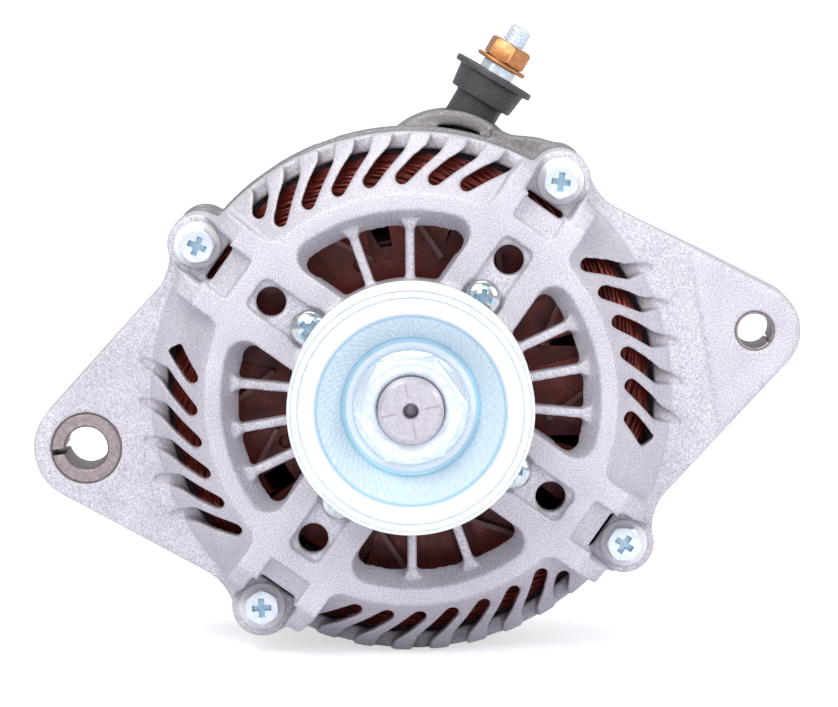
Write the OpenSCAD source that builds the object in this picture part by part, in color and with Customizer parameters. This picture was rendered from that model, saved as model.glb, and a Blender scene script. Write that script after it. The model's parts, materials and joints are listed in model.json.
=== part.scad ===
// Car alternator with a ribbed pulley, a cast two-piece housing and a claw-pole rotor.
// +Z is up, the shaft runs along Y and the pulley faces -Y.
// The origin is on the shaft, at the middle of the pulley's width.

/* [Pulley end] */
// Diameter over the pulley's ribs
pulley_d = 59.2; // [56:0.2:64]
// Width of the pulley
pulley_w = 26; // [24:0.5:30]
// Number of belt grooves
groove_count = 6; // [4:1:6]
// Distance from one belt groove to the next
groove_pitch = 3.56; // [3.4:0.02:3.6]
// Depth of a belt groove
groove_depth = 3; // [2.4:0.1:3.2]
// Diameter of the knurled cone at the pulley's face
cone_d = 46; // [42:0.5:48]
// Diameter of the flat seat under the nut
nut_seat_d = 33; // [30:0.5:36]
// Depth of the cone below the pulley's front face
cone_depth = 14; // [11:0.5:15]
// Width of the pulley nut across its flats
nut_flats = 24; // [22:0.5:25]
// Height of the pulley nut above its flange
nut_h = 6; // [5:0.5:8]
// Diameter of the nut's flange
nut_flange_d = 28; // [27:0.2:29]
// Thickness of the nut's flange
nut_flange_t = 2; // [1.5:0.1:3]
// How far the shaft stands out of the pulley nut
shaft_proud = 5.5; // [2:0.5:6]
// Length of the spacer between the pulley and the front bearing
spacer_l = 7; // [5:0.5:10]

/* [Shaft and bearings] */
// Diameter of the shaft's thread at the pulley
shaft_thread_d = 16; // [14:0.5:16.5]
// Diameter of the shaft in the front bearing
front_journal_d = 17; // [17:0.2:18]
// Outer diameter of the front bearing
front_bearing_d = 47; // [46:0.5:49]
// Width of the front bearing
front_bearing_w = 14; // [12.5:0.5:16]
// Diameter of the balls in the front bearing
front_ball_d = 8.4; // [7.6:0.1:8.8]
// Number of balls in the front bearing
front_ball_count = 7; // [6:1:8]
// Diameter of the shaft in the rear bearing
rear_journal_d = 15; // [14:0.2:15.4]
// Outer diameter of the rear bearing
rear_bearing_d = 35; // [34.5:0.5:37]
// Width of the rear bearing
rear_bearing_w = 11; // [10:0.5:13]
// Diameter of the balls in the rear bearing
rear_ball_d = 6; // [5.4:0.1:6.4]
// Number of balls in the rear bearing
rear_ball_count = 8; // [6:1:9]
// Diameter of the shaft through the rotor
rotor_shaft_d = 19; // [18.5:0.5:22]

/* [Rotor] */
// Diameter of the claw poles
rotor_d = 92.4; // [90:0.2:92.6]
// Length of the rotor over both claw poles
rotor_l = 38; // [36:0.5:42]
// Thickness of a claw pole's disc
pole_disc_t = 11; // [9:0.5:12]
// Number of claws on each pole
claw_count = 6; // [5:1:7]
// Distance from the bearing retainer to the front fan's blades
fan_room = 4.5; // [3.5:0.5:8]
// Height of the front fan's blades
front_blade_h = 6.2; // [5:0.2:8]
// Height of the rear fan's blades
rear_blade_h = 4.8; // [4:0.2:6]
// Thickness of the sheet of both fans
fan_t = 1.2; // [1:0.1:1.6]
// Diameter of a slip ring
slip_ring_d = 21; // [20.5:0.2:23]
// Width of a slip ring
slip_ring_w = 4.2; // [4:0.1:4.8]

/* [Stator] */
// Outer diameter of the stator core
stator_d = 122; // [121:0.5:125]
// Length of the stator core
stator_l = 30; // [28:0.5:33]
// Air gap between the rotor and the stator
air_gap = 0.4; // [0.3:0.05:0.6]
// Number of slots in the stator core
slot_count = 36; // [30:6:36]
// Length of a winding head past the core
crown_l = 11.5; // [10:0.5:12]

/* [Housing] */
// How far the housing is turned anticlockwise on the shaft, seen from the pulley
roll_deg = 10; // [0:1:20]
// Wall of the bracket rims round the stator
rim_wall = 3.1; // [2.5:0.1:4]
// Length of the rim that overlaps the stator core
rim_overlap = 3; // [2:0.5:4]
// Radial width of the sloping shoulder
shoulder_run = 13.8; // [12:0.2:15]
// Depth of the sloping shoulder along the shaft
shoulder_depth = 24; // [21:0.5:25]
// Thickness of the front wall
front_wall = 7; // [6:0.5:8]
// Width of the flat ring outside the windows
face_ring_w = 4; // [3:0.2:5]
// Wall of the hub round the front bearing
hub_wall = 5.7; // [5:0.1:6]
// Half the width of an arm between the windows
arm_half = 10.7; // [10:0.1:11.4]
// Width of a window rib
window_rib_w = 2.3; // [1.8:0.1:3]
// Width of a shoulder slot at its inner end
slot_w_inner = 3.3; // [2.6:0.1:3.6]
// Width of a shoulder slot at its outer end
slot_w_outer = 4; // [3.3:0.1:4.4]
// Angle from one shoulder slot to the next
slot_step_deg = 8.5; // [8:0.1:9]
// Thickness of the rear bracket's wall
rear_wall = 3.5; // [3:0.1:4]

/* [Fasteners] */
// Diameter of the through bolts
bolt_d = 5; // [4.5:0.1:5.2]
// Diameter of the through bolt's flange
bolt_flange_d = 11.5; // [10.5:0.1:12]
// Width of the through bolt's head across its flats
bolt_flats = 8; // [7.5:0.1:9]
// Height of the through bolt's head
bolt_head_h = 5; // [4:0.1:6]
// Radius of the boss round a through bolt
bolt_boss_r = 7.5; // [7:0.1:8]
// Diameter of the bearing retainer screws
retainer_screw_d = 5; // [4:0.1:5.4]
// Diameter of a retainer screw's head
retainer_head_d = 9.2; // [8.4:0.1:9.8]
// Height of a retainer screw's head
retainer_head_h = 3.3; // [2.6:0.1:3.4]
// Thickness of the bearing retainer plate
retainer_t = 2.5; // [2:0.1:3]

/* [Mounting ears] */
// Distance from the shaft to the pivot bush
pivot_reach = 81.6; // [80:0.2:86]
// Radius of the pivot ear
pivot_ear_r = 13.1; // [12.6:0.1:14]
// Outer diameter of the pivot bush
bush_d = 17.4; // [16:0.1:18]
// Bore of the pivot bush
bush_bore_d = 10.5; // [8.5:0.1:12]
// Width of the slit in the pivot bush
bush_slit = 1.1; // [0.6:0.1:1.6]
// Distance from the shaft to the adjuster hole
adjuster_reach = 86.2; // [84:0.2:90]
// Radius of the adjuster ear
adjuster_ear_r = 11.4; // [10.5:0.1:12.5]
// Outer diameter of the adjuster sleeve
sleeve_d = 9.8; // [9.4:0.1:10.6]
// Bore of the adjuster sleeve
sleeve_bore_d = 8.4; // [8:0.1:8.8]
// Thickness of both ears along the shaft
ear_t = 22; // [18:0.5:24]
// Wall of the ears behind their front face
ear_wall = 4; // [3:0.2:5]

/* [Output terminal] */
// Angle of the terminal's foot round the shaft, from the right
terminal_deg = 77.4; // [72:0.2:82]
// Lean of the terminal from upright
terminal_lean = 30.8; // [24:0.2:36]
// Diameter of the insulator's body
insulator_d = 12.8; // [12:0.1:14]
// Diameter of the insulator's cup
cup_d = 17.9; // [16.5:0.1:19]
// Diameter of the cup's lip
cup_lip_d = 21.5; // [20:0.1:23]
// Diameter of the terminal stud
stud_d = 6; // [5:0.1:6]
// Width of the terminal nut across its flats
terminal_nut_flats = 10; // [9:0.1:11]
// Height of the terminal nut
terminal_nut_h = 5.1; // [4:0.1:6]

/* [Rear electrics] */
// Thickness of the rectifier's heat sinks
heat_sink_t = 3; // [2.4:0.1:3.4]
// Diameter of a diode
diode_d = 9.5; // [8.5:0.1:10.5]
// Width of a brush across the shaft
brush_w = 7; // [6:0.1:8]
// Length of a brush
brush_l = 14; // [12:0.2:15]
// Travel of a brush into its holder
brush_travel = 5; // [3:0.2:5.5]
// Width of the connector shell
connector_w = 25; // [22:0.5:27]
// Height of the connector shell
connector_h = 15; // [14:0.5:16]

/* [Hidden] */
$fn = 64;

// Small allowances
fit = 0.05;     // a sliding or running fit, on the radius
slack = 0.2;    // an assembly clearance
past = 1;       // how far a cut runs past the face it opens

// Radii of the housing
stator_r = stator_d / 2;
rim_r = stator_r + rim_wall;
cavity_r = stator_r - 1;
bolt_circle_r = stator_r + bolt_d / 2 + 0.5;
face_r = rim_r - shoulder_run;
window_r = face_r - face_ring_w;
opening_r = window_r - 4.3;
front_bearing_r = front_bearing_d / 2;
hub_r = front_bearing_r + hub_wall;
retainer_circle_r = front_bearing_r + 6.8;
relief_hole_r = window_r - 4.8;
arm_end_half = arm_half + 0.9;
ear_blend_r = 15;
shoulder_wall = 3.6;
bolt_xy = bolt_circle_r / sqrt(2);

// Stations along the shaft, counted back from the middle of the pulley
pulley_front = -pulley_w / 2;
pulley_back = pulley_w / 2;
nut_seat = pulley_front + cone_depth;
shaft_tip = nut_seat - nut_flange_t - nut_h - shaft_proud;
face_z = pulley_back + spacer_l;
hub_front = face_z - 2;
front_bearing_back = face_z + front_bearing_w;
retainer_back = front_bearing_back + retainer_t;
front_fan_tip = retainer_back + fan_room;
front_fan_face = front_fan_tip + front_blade_h;
rotor_front = front_fan_face + fan_t;
rotor_back = rotor_front + rotor_l;
rotor_middle = (rotor_front + rotor_back) / 2;
rear_fan_back = rotor_back + fan_t + rear_blade_h;
stator_front = rotor_middle - stator_l / 2;
stator_back = rotor_middle + stator_l / 2;
shoulder_end = face_z + shoulder_depth;
rim_end = stator_front + rim_overlap;
bolt_sink = 17.8;
bolt_seat = face_z + bolt_sink;
screw_sink = 1.8;
head_top = bolt_seat - bolt_head_h;
opening_z = face_z + front_wall;
rib_front = face_z + 4;
rib_back = opening_z + 3;
ear_front = shoulder_end + 2;
ear_back = ear_front + ear_t;
groove_floor = shoulder_end + 4;
ear_groove = 0.9;
ear_pad_h = 0.6;
ear_pad_x = 73.8;

// Rear stations
ring_gap = 2;
ring_front = rear_fan_back + 2.7;
front_ring_z = ring_front + slip_ring_w / 2;
rear_ring_z = front_ring_z + slip_ring_w + ring_gap;
ring_back = rear_ring_z + slip_ring_w / 2;
rear_bearing_front = ring_back + 2.2;
rear_bearing_back = rear_bearing_front + rear_bearing_w;
rear_face = rear_bearing_back + 3;
rear_inside = rear_face - rear_wall;
shaft_end = rear_bearing_back + 0.5;
rear_rim_front = stator_back - rim_overlap;

// Front bearing
front_race = [front_journal_d / 2, front_journal_d / 2 + 3.3, front_bearing_r - 3.4, front_bearing_r];
// Rear bearing
rear_race = [rear_journal_d / 2, rear_journal_d / 2 + 2.4, rear_bearing_d / 2 - 2.4, rear_bearing_d / 2];

// Brushes
brush_t = slip_ring_w - 0.4;
brush_gap = 0.15;
brush_top = slip_ring_d / 2 + 0.1;
brush_bottom = brush_top + brush_l;
spring_foot = brush_bottom + brush_travel + 4.2;
holder_end = spring_foot + 2;
holder_front = front_ring_z - brush_t / 2 - 1.4;
holder_back = rear_ring_z + brush_t / 2 + 1.2;

// Regulator and connector, which sit below the shaft
regulator_top = holder_end;
regulator_bottom = cavity_r - 8;
regulator_front = ring_front + 3;
regulator_back = regulator_front + 12;
regulator_half = 19.5;
regulator_screw_x = 15.5;
regulator_screw_y = regulator_bottom - 5;
connector_y = (regulator_top + regulator_bottom) / 2 + 0.5;
connector_mouth = rear_face + 5.5;
connector_floor = connector_mouth - 13;

// Rectifier, which spans the top of the rear bracket
negative_z = rear_inside - 6 - heat_sink_t;
board_t = 2.5;
board_z = negative_z - 2.5 - board_t;
positive_z = board_z - 2.5 - heat_sink_t;
sink_inner = rear_bearing_d / 2 + 8;
sink_outer = cavity_r - 6;
diode_r = (sink_inner + sink_outer) / 2 - 1.5;
diode_deg = [-28, 8, 42, 110, 146, 186];
rectifier_screw_deg = [-12, 128, 206];
rectifier_screw_r = sink_outer - 5.5;
lead_deg = [26, 100, 167];
lead_r = cavity_r - 4;

// Output terminal, measured along its own axis from its foot
terminal_foot = rim_r + 2.6;
terminal_z = positive_z + heat_sink_t / 2 + 0.5;
lug_inner = -17;
lug_t = 3;
cup_start = 6;
lip_start = 11.9;
cup_end = 13.4;
washer_start = 16;
washer_t = 1;
terminal_washer_r = 6.8;
nut_outer = washer_start + washer_t + terminal_nut_h;
stud_end = nut_outer + 4.8;
stud_core_r = stud_d / 2 - 0.2;

// The local frame looks along the shaft: z runs back, x right and y down
module along_shaft() rotate([-90, 0, 0]) children();
// Turned anticlockwise as seen from the pulley
module turned(angle) rotate([0, 0, -angle]) children();
module at(radius, angle) turned(angle) translate([radius, 0, 0]) children();
module on_housing() along_shaft() turned(roll_deg) children();
module four_arms() for (angle = [45 : 90 : 315]) turned(angle) children();

module ring(outer, inner, start, end) {
    translate([0, 0, start]) difference() {
        cylinder(r = outer, h = end - start);
        translate([0, 0, -past]) cylinder(r = inner, h = end - start + 2 * past);
    }
}

module rod(radius, start, end) translate([0, 0, start]) cylinder(r = radius, h = end - start);

module block(x0, x1, y0, y1, z0, z1) translate([x0, y0, z0]) cube([x1 - x0, y1 - y0, z1 - z0]);

module revolved(points) rotate_extrude($fn = 120) polygon(points);

function arc(radius, from, to, steps, centre = [0, 0]) = [
    for (i = [0 : steps]) let (angle = from + (to - from) * i / steps)
        centre + radius * [cos(angle), sin(angle)]
];

// Window between two arms, seen along the shaft and centred on +x: two sides parallel to the
// arms, an outer arc and rounded outer corners
function window_outline(outer, half, corner) =
    let (q = (half + corner) * sqrt(2),
         y = (sqrt(2 * pow(outer - corner, 2) - q * q) - q) / 2,
         x = y + q,
         lean = atan2(y, x))
    concat(
        arc(corner, 135, lean, 5, [x, y]),
        arc(outer, lean * 0.75, -lean * 0.75, 6),
        arc(corner, -lean, -135, 5, [x, -y]),
        [[half * sqrt(2), 0]]);

module window_cut(angle) {
    turned(angle) {
        hull() {
            translate([0, 0, face_z - 0.02]) linear_extrude(0.02)
                polygon(window_outline(window_r, arm_half, 4.5));
            translate([0, 0, opening_z]) linear_extrude(0.02)
                polygon(window_outline(opening_r, arm_half + 0.4, 2.4));
        }
        translate([0, 0, opening_z]) linear_extrude(front_bearing_back - opening_z + past)
            polygon(window_outline(opening_r, arm_half + 0.4, 2.4));
    }
}

module window_rib(angle) {
    foot_r = (window_r + opening_r) / 2;
    turned(angle) {
        block(hub_r - 1, foot_r + 1, -window_rib_w / 2, window_rib_w / 2, rib_front, rib_back);
        translate([foot_r - 0.6, 0, 0]) rod(window_rib_w / 2 + 0.8, rib_front - 0.6, rib_back);
    }
}

// Shoulder slots: how far past the face they start and turn, their lean, and the first slot
// of the upper and side groups
slot_inset = 1.7;
slot_knee = 10.4;
slot_sweep_deg = 9.5;
upper_slot_deg = 67.2;
side_slot_deg = -13.5;

// Middle line of a shoulder slot: it leans back at 45 degrees, then turns outward
function slot_centre(angle, radius) =
    let (knee = face_r + slot_knee,
         inner = face_r + slot_inset,
         swept = angle - slot_sweep_deg * (min(radius, knee) - inner) / (knee - inner)
               - 0.35 * max(0, radius - knee))
    radius * [cos(swept), -sin(swept)];

function slot_side(angle, radii, side, end_w) = [
    for (i = [0 : len(radii) - 1]) let (
        here = slot_centre(angle, radii[i]),
        ahead = slot_centre(angle, radii[i] + 0.5),
        along = (ahead - here) / norm(ahead - here),
        grown = slot_w_inner + (slot_w_outer - slot_w_inner) * i / (len(radii) - 1),
        width = i == len(radii) - 1 ? end_w : grown)
    here + side * width / 2 * [-along[1], along[0]]
];

// Round inner end of a slot, from its right side back to its left side
function slot_end(angle, radius) =
    let (here = slot_centre(angle, radius),
         ahead = slot_centre(angle, radius + 0.5),
         along = (ahead - here) / norm(ahead - here),
         across = [-along[1], along[0]])
    [for (turn = [155 : -26 : 25]) here + slot_w_inner / 2 * (cos(turn) * across - sin(turn) * along)];

module slot_shape(angle, from, to, end_w = slot_w_outer) {
    knee = min(face_r + slot_knee, to - 2);
    radii = [from, (from + knee) / 2, knee, to];
    left = slot_side(angle, radii, 1, end_w);
    right = slot_side(angle, radii, -1, end_w);
    polygon(concat(left, [for (i = [len(right) - 1 : -1 : 0]) right[i]], slot_end(angle, from)));
}

module shoulder_slots() {
    first = face_r + slot_inset + slot_w_inner / 2;
    for (half_turn = [0, 180]) {
        translate([0, 0, face_z - past]) linear_extrude(groove_floor - face_z + past) {
            for (k = [0 : 6])
                slot_shape(upper_slot_deg + k * slot_step_deg + half_turn, first, rim_r + 2);
            slot_shape(upper_slot_deg + 7 * slot_step_deg + half_turn, first + 4.6, rim_r + 2);
        }
        translate([0, 0, face_z - past]) linear_extrude(ear_front + ear_groove - face_z + past) {
            slot_shape(half_turn + side_slot_deg, first, face_r + 9);
            for (k = [1 : 5])
                slot_shape(half_turn + side_slot_deg + k * slot_step_deg, first, rim_r + 3, 1.4);
        }
    }
}

// Concave blend where a straight ear edge runs into the round boss at one of its ends
module edge_blend(boss_at, along, outward, radius) {
    run = sqrt(pow(bolt_boss_r + radius, 2) - radius * radius);
    foot = boss_at + along * run;
    centre = foot + outward * radius;
    difference() {
        polygon([boss_at - outward, foot - outward, foot, centre]);
        translate(centre) circle(r = radius + 0.15);
    }
}

// Outward direction of the ear edge that touches the ear's circle and aims at the bolt
function ear_normal(reach, radius) =
    let (to_bolt = [bolt_xy - reach, bolt_xy],
         angle = atan2(to_bolt[1], to_bolt[0]) - acos(radius / norm(to_bolt)))
    [cos(angle), sin(angle)];

module ear_shape(reach, radius, inset) {
    normal = ear_normal(reach, radius);
    touch = [reach, 0] + (radius - inset) * normal;
    corner = [bolt_xy, bolt_xy] - inset * normal;
    polygon([touch, corner, [inset * 2, 0], [corner[0], -corner[1]], [touch[0], -touch[1]]]);
    translate([reach, 0]) circle(r = radius - inset);
}

module ear(reach, radius) {
    normal = ear_normal(reach, radius);
    along = [normal[1], -normal[0]];
    intersection() {
        union() {
            difference() {
                translate([0, 0, ear_front]) linear_extrude(ear_t) ear_shape(reach, radius, 0);
                translate([0, 0, ear_front + ear_wall + 2]) linear_extrude(ear_t)
                    ear_shape(reach, radius, ear_wall);
            }
            translate([reach, 0, 0]) rod(radius, ear_front, ear_back);
            block(cavity_r + 2, reach, -1.5, 1.5, ear_front + past, ear_back - 2);
            for (side = [1, -1])
                translate([0, 0, ear_front + 0.4]) linear_extrude(rim_end - ear_front - 1.6)
                    mirror([0, side < 0 ? 1 : 0]) edge_blend([bolt_xy, bolt_xy], along, normal, ear_blend_r);
        }
        translate([0, reach, 0]) rotate([90, 0, 0]) linear_extrude(2 * reach)
            polygon([
                [bolt_xy - 10, ear_front], [reach + radius + past, ear_front],
                [reach + radius + past, ear_back], [reach - radius + 3, ear_back],
                [reach - radius - 12, rim_end - 0.6], [bolt_xy - 10, rim_end - 0.6]
            ]);
    }
}

// Low pad round the adjuster's hole
module ear_pad() {
    intersection() {
        translate([0, 0, ear_front - ear_pad_h]) linear_extrude(ear_pad_h + 1)
            ear_shape(adjuster_reach, adjuster_ear_r, 0.9);
        block(ear_pad_x, adjuster_reach + adjuster_ear_r, -30, 30, ear_front - 2, ear_front + 2);
    }
}

// Outer end of one arm, along +x, with its two legs beside the bolt
module arm() {
    intersection() {
        translate([0, arm_end_half, 0]) rotate([90, 0, 0]) linear_extrude(2 * arm_end_half)
            polygon([
                [face_r - 3, face_z], [bolt_circle_r - 7, face_z], [bolt_circle_r - 2, face_z + 5],
                [bolt_circle_r + 3, bolt_seat], [bolt_circle_r + 3, rim_end - 3],
                [face_r - 3, opening_z]
            ]);
        union() {
            rod(rim_r, face_z, rim_end - 2);
            translate([bolt_circle_r, 0, 0]) rod(bolt_boss_r, face_z, rim_end - 2);
        }
    }
    translate([bolt_circle_r, 0, 0]) rod(bolt_boss_r, bolt_seat, rim_end - 0.3);
    for (side = [0, 1]) translate([0, 0, face_z]) linear_extrude(9)
        mirror([0, side]) arm_fillet(4.5);
}

// Fills the corner between an arm's side and the round edge of the face
module arm_fillet(radius) {
    y = arm_end_half + radius;
    x = sqrt(pow(face_r + radius, 2) - y * y);
    inner_x = sqrt(pow(face_r, 2) - pow(arm_end_half, 2));
    difference() {
        polygon([
            [inner_x - 1, arm_end_half - 0.5], [x, arm_end_half - 0.5], [x, arm_end_half], [x, y],
            [x, y] * face_r / (face_r + radius)
        ]);
        translate([x, y]) circle(r = radius + 0.15);
    }
}

module arm_cuts() {
    pocket_start = face_r + 0.7;
    pocket_end = bolt_circle_r - 6.9;
    pocket_half = 5.65;
    seat_half = 6.8;
    // sloping corner pocket that runs down to a slit
    translate([0, pocket_half, 0]) rotate([90, 0, 0]) linear_extrude(2 * pocket_half)
        polygon([
            [pocket_start, face_z - past], [pocket_start, face_z + 1.6],
            [pocket_end, face_z + 7], [pocket_end + 0.1, face_z - past]
        ]);
    block(pocket_end - 0.8, pocket_end + 0.7, -5.2, 5.2, face_z - past, face_z + 25);
    // recess for the bolt head
    block(pocket_end + 0.5, bolt_circle_r, -seat_half, seat_half, face_z - past, bolt_seat);
    translate([bolt_circle_r, 0, 0]) rod(bolt_boss_r - 0.4, face_z - past, bolt_seat);
    block(bolt_circle_r, bolt_circle_r + 9, -seat_half, seat_half, face_z - past, bolt_seat);
    translate([bolt_circle_r, 0, 0]) rod(bolt_d / 2 + slack, face_z, rim_end + past);
    // channel with the retainer screw's recess and a relief hole
    translate([0, 0, face_z - past]) linear_extrude(past + screw_sink) {
        translate([retainer_circle_r, -4.4]) square([window_r - 2 - retainer_circle_r, 8.8]);
        translate([retainer_circle_r, -2.4]) square([window_r - retainer_circle_r, 4.8]);
        for (side = [-1, 1]) translate([window_r - 2, side * 2.4]) circle(r = 2, $fn = 24);
    }
    translate([retainer_circle_r, 0, 0]) {
        rod(retainer_head_d / 2 + 0.7, hub_front - past, face_z + screw_sink);
        rod(retainer_screw_d / 2 + slack / 2, face_z, front_bearing_back + past);
    }
    translate([relief_hole_r, 0, 0]) rod(3.7, face_z - past, front_bearing_back + past);
}

// Inside of the front bracket: bearing seat, room for the fan and winding, stator seat
module bracket_inside() {
    wall = shoulder_wall;
    slope = shoulder_run / shoulder_depth;
    lip_r = front_race[1] + 1.2;
    revolved([
        [0, hub_front - past], [lip_r, hub_front - past], [lip_r, face_z],
        [front_bearing_r, face_z], [front_bearing_r, front_bearing_back],
        [hub_r + 8, front_bearing_back], [hub_r + 8, opening_z],
        [face_r - wall + slope * front_wall, opening_z],
        [cavity_r, face_z + (cavity_r - face_r + wall) / slope], [cavity_r, stator_front],
        [stator_r, stator_front], [stator_r, rim_end + 0.4], [stator_r + 0.5, rim_end + 0.4],
        [stator_r + 0.5, ear_back + past], [0, ear_back + past]
    ]);
}

// Solid outside of the casting, hollowed by the inside
module bracket_casting() {
    difference() {
        union() {
            revolved([
                [0, hub_front], [hub_r, hub_front], [hub_r, face_z], [face_r, face_z],
                [rim_r, shoulder_end], [rim_r, rim_end], [0, rim_end]
            ]);
            four_arms() arm();
            ear(adjuster_reach, adjuster_ear_r);
            mirror([1, 0, 0]) ear(pivot_reach, pivot_ear_r);
            ear_pad();
        }
        bracket_inside();
    }
}

module windows() {
    difference() {
        for (angle = [0 : 90 : 270]) window_cut(angle);
        rod(hub_r, hub_front, front_bearing_back + 2 * past);
    }
}

module window_ribs() {
    intersection() {
        union() {
            for (angle = [90 - 9.6, 90 + 9.6, 270 - 9.6, 270 + 9.6]) window_rib(angle);
            for (angle = [-15, 0, 15, 165, 180, 195]) window_rib(angle);
        }
        ring(window_r, hub_r - 1, face_z, front_bearing_back);
    }
}

module front_bracket() {
    color([0.85, 0.85, 0.87]) on_housing() {
        difference() {
            difference() {
                difference() {
                    bracket_casting();
                    shoulder_slots();
                }
                four_arms() arm_cuts();
            }
            windows();
            translate([-pivot_reach, 0, 0])
                rod(bush_d / 2 + fit, ear_front - past, ear_back + past);
            translate([adjuster_reach, 0, 0]) rod(sleeve_d / 2, ear_front - past, ear_back + past);
        }
        window_ribs();
    }
}

// Runs of the rear bracket's bulge over the output terminal
bulge_r = 20;
bulge_wall = 3.8;
outlet_step_deg = 15;
outlet_first = 7;
outlet_last = 27;
bulge_at = [9.1, 47.8 + rim_r - 64.1];
bulge_front = stator_back + 6.5;
bulge_back = rear_bearing_front + 3;

module on_terminal() {
    translate([terminal_foot * cos(terminal_deg), terminal_z, terminal_foot * sin(terminal_deg)])
        rotate([0, terminal_lean, 0]) children();
}

// Web that fills the corner between the bulge and the boss at its right
module boss_shoulder() {
    translate([bolt_xy, -bolt_xy]) polygon([
        [0, 0], [1.35, -7.05], [-3.35, -9.3], [-9.3, -10.9], [-13.4, -13.3],
        [-14.6, -13.2], [-14, -6]
    ]);
}

module rear_bracket() {
    inner_r = cavity_r - 0.4;
    color([0.62, 0.62, 0.64]) difference() {
        union() {
            along_shaft() difference() {
                union() {
                    revolved([
                        [0, rear_rim_front], [rim_r, rear_rim_front], [rim_r, stator_back + 6],
                        [rim_r - 1, rear_inside - 11], [rim_r - 10, rear_face], [0, rear_face]
                    ]);
                    translate([bulge_at[0], -bulge_at[1], 0])
                        rod(bulge_r, bulge_front, bulge_back);
                }
                revolved([
                    [0, rear_rim_front - past], [stator_r, rear_rim_front - past],
                    [stator_r, stator_back], [inner_r, stator_back],
                    [inner_r, rear_inside - 11], [inner_r - 8, rear_inside], [0, rear_inside]
                ]);
                translate([bulge_at[0], -bulge_at[1], 0])
                    rod(bulge_r - bulge_wall, bulge_front - past, bulge_back - rear_wall);
            }
            on_housing() {
                four_arms() translate([bolt_circle_r, 0, 0])
                    rod(bolt_boss_r - 0.5, rear_rim_front, rear_rim_front + 20);
                translate([0, 0, rear_rim_front + 0.4]) linear_extrude(12) boss_shoulder();
            }
            along_shaft() {
                rod(rear_bearing_d / 2 + 4, rear_bearing_front - 0.5, rear_face);
                for (angle = rectifier_screw_deg) at(rectifier_screw_r, angle)
                    rod(4, negative_z + heat_sink_t, rear_inside);
                for (side = [-1, 1]) translate([side * regulator_screw_x, regulator_screw_y, 0])
                    rod(4, regulator_back, rear_inside);
            }
        }
        along_shaft() {
            // the stator stays clear inside the four bolt bosses
            rod(stator_r, rear_rim_front - past, stator_back);
            rod(inner_r, stator_back - past, stator_back + 16);
            rod(rear_bearing_d / 2, rear_bearing_front - past, rear_bearing_back);
            rod(rear_journal_d / 2 + 2, rear_bearing_front, rear_bearing_back + past);
            // outlet slots round the wall, none under the bulge over the terminal
            for (k = [outlet_first : outlet_last]) turned(k * outlet_step_deg + 5)
                block(cavity_r - 5, rim_r + 8, -2.2, 2.2, stator_back + 3, stator_back + 13);
            // inlet slots in the end wall
            for (k = [0 : 21]) turned(k * 12 - 36)
                block(rear_bearing_d / 2 + 7, rim_r - 15, -1.8, 1.8, rear_inside - 0.5, rear_face + past);
            for (angle = rectifier_screw_deg) at(rectifier_screw_r, angle)
                rod(2, negative_z, rear_inside + 1);
            for (side = [-1, 1]) translate([side * regulator_screw_x, regulator_screw_y, 0])
                rod(2, regulator_back - past, rear_inside + 1);
            block(-connector_w / 2 - slack, connector_w / 2 + slack,
                connector_y - connector_h / 2 - slack, connector_y + connector_h / 2 + slack,
                regulator_back - past, rear_face + past);
        }
        on_housing() four_arms() translate([bolt_circle_r, 0, 0])
            rod(bolt_d / 2, rear_rim_front - past, rear_rim_front + 17);
        on_terminal() rod(insulator_d / 2 + slack, -14, 12);
    }
}

module through_bolts() {
    color([0.8, 0.84, 0.9]) on_housing() four_arms() translate([bolt_circle_r, 0, 0]) {
        rod(bolt_d / 2, bolt_seat, rear_rim_front + 16);
        rod(bolt_flange_d / 2, bolt_seat - 1.3, bolt_seat);
        translate([0, 0, head_top]) cylinder(d = bolt_flats / cos(30), h = bolt_head_h, $fn = 6);
    }
}

module pivot_bush() {
    color([0.6, 0.58, 0.55]) on_housing() translate([-pivot_reach, 0, 0]) difference() {
        ring(bush_d / 2, bush_bore_d / 2, ear_front + 0.2, ear_back + 1.5);
        turned(178) block(0, bush_d, -bush_slit / 2, bush_slit / 2, 0, ear_back + 2 * past);
        translate([0, 0, ear_front + 0.2 - 0.01])
            cylinder(r1 = bush_bore_d / 2 + 0.4, r2 = bush_bore_d / 2, h = 0.41);
    }
}

module adjuster_sleeve() {
    color([0.62, 0.6, 0.58]) on_housing() translate([adjuster_reach, 0, 0]) difference() {
        ring(sleeve_d / 2, sleeve_bore_d / 2, ear_front + 0.3, ear_back - 0.5);
        turned(-45) block(0, sleeve_d, -0.25, 0.25, 0, ear_back + past);
    }
}

module bearing_retainer() {
    color("silver") on_housing() difference() {
        union() {
            rod(front_bearing_r + 3, front_bearing_back, retainer_back);
            four_arms() {
                block(0, retainer_circle_r, -5, 5, front_bearing_back, retainer_back);
                translate([retainer_circle_r, 0, 0]) rod(5, front_bearing_back, retainer_back);
            }
        }
        rod(front_race[2] - 1.5, front_bearing_back - past, retainer_back + past);
        four_arms() translate([retainer_circle_r, 0, 0])
            rod(retainer_screw_d / 2, front_bearing_back - past, retainer_back + past);
    }
}

module retainer_screws() {
    seat = face_z + screw_sink;
    head_r = retainer_head_d / 2;
    color([0.9, 0.92, 0.94]) on_housing() four_arms() translate([retainer_circle_r, 0, 0]) {
        rod(retainer_screw_d / 2, seat, retainer_back + 1.5);
        rotate_extrude() polygon([
            [0, seat], [head_r, seat], [head_r, seat - retainer_head_h * 0.55],
            [head_r * 0.88, seat - retainer_head_h * 0.85], [head_r * 0.6, seat - retainer_head_h],
            [0, seat - retainer_head_h]
        ]);
    }
}

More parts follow.
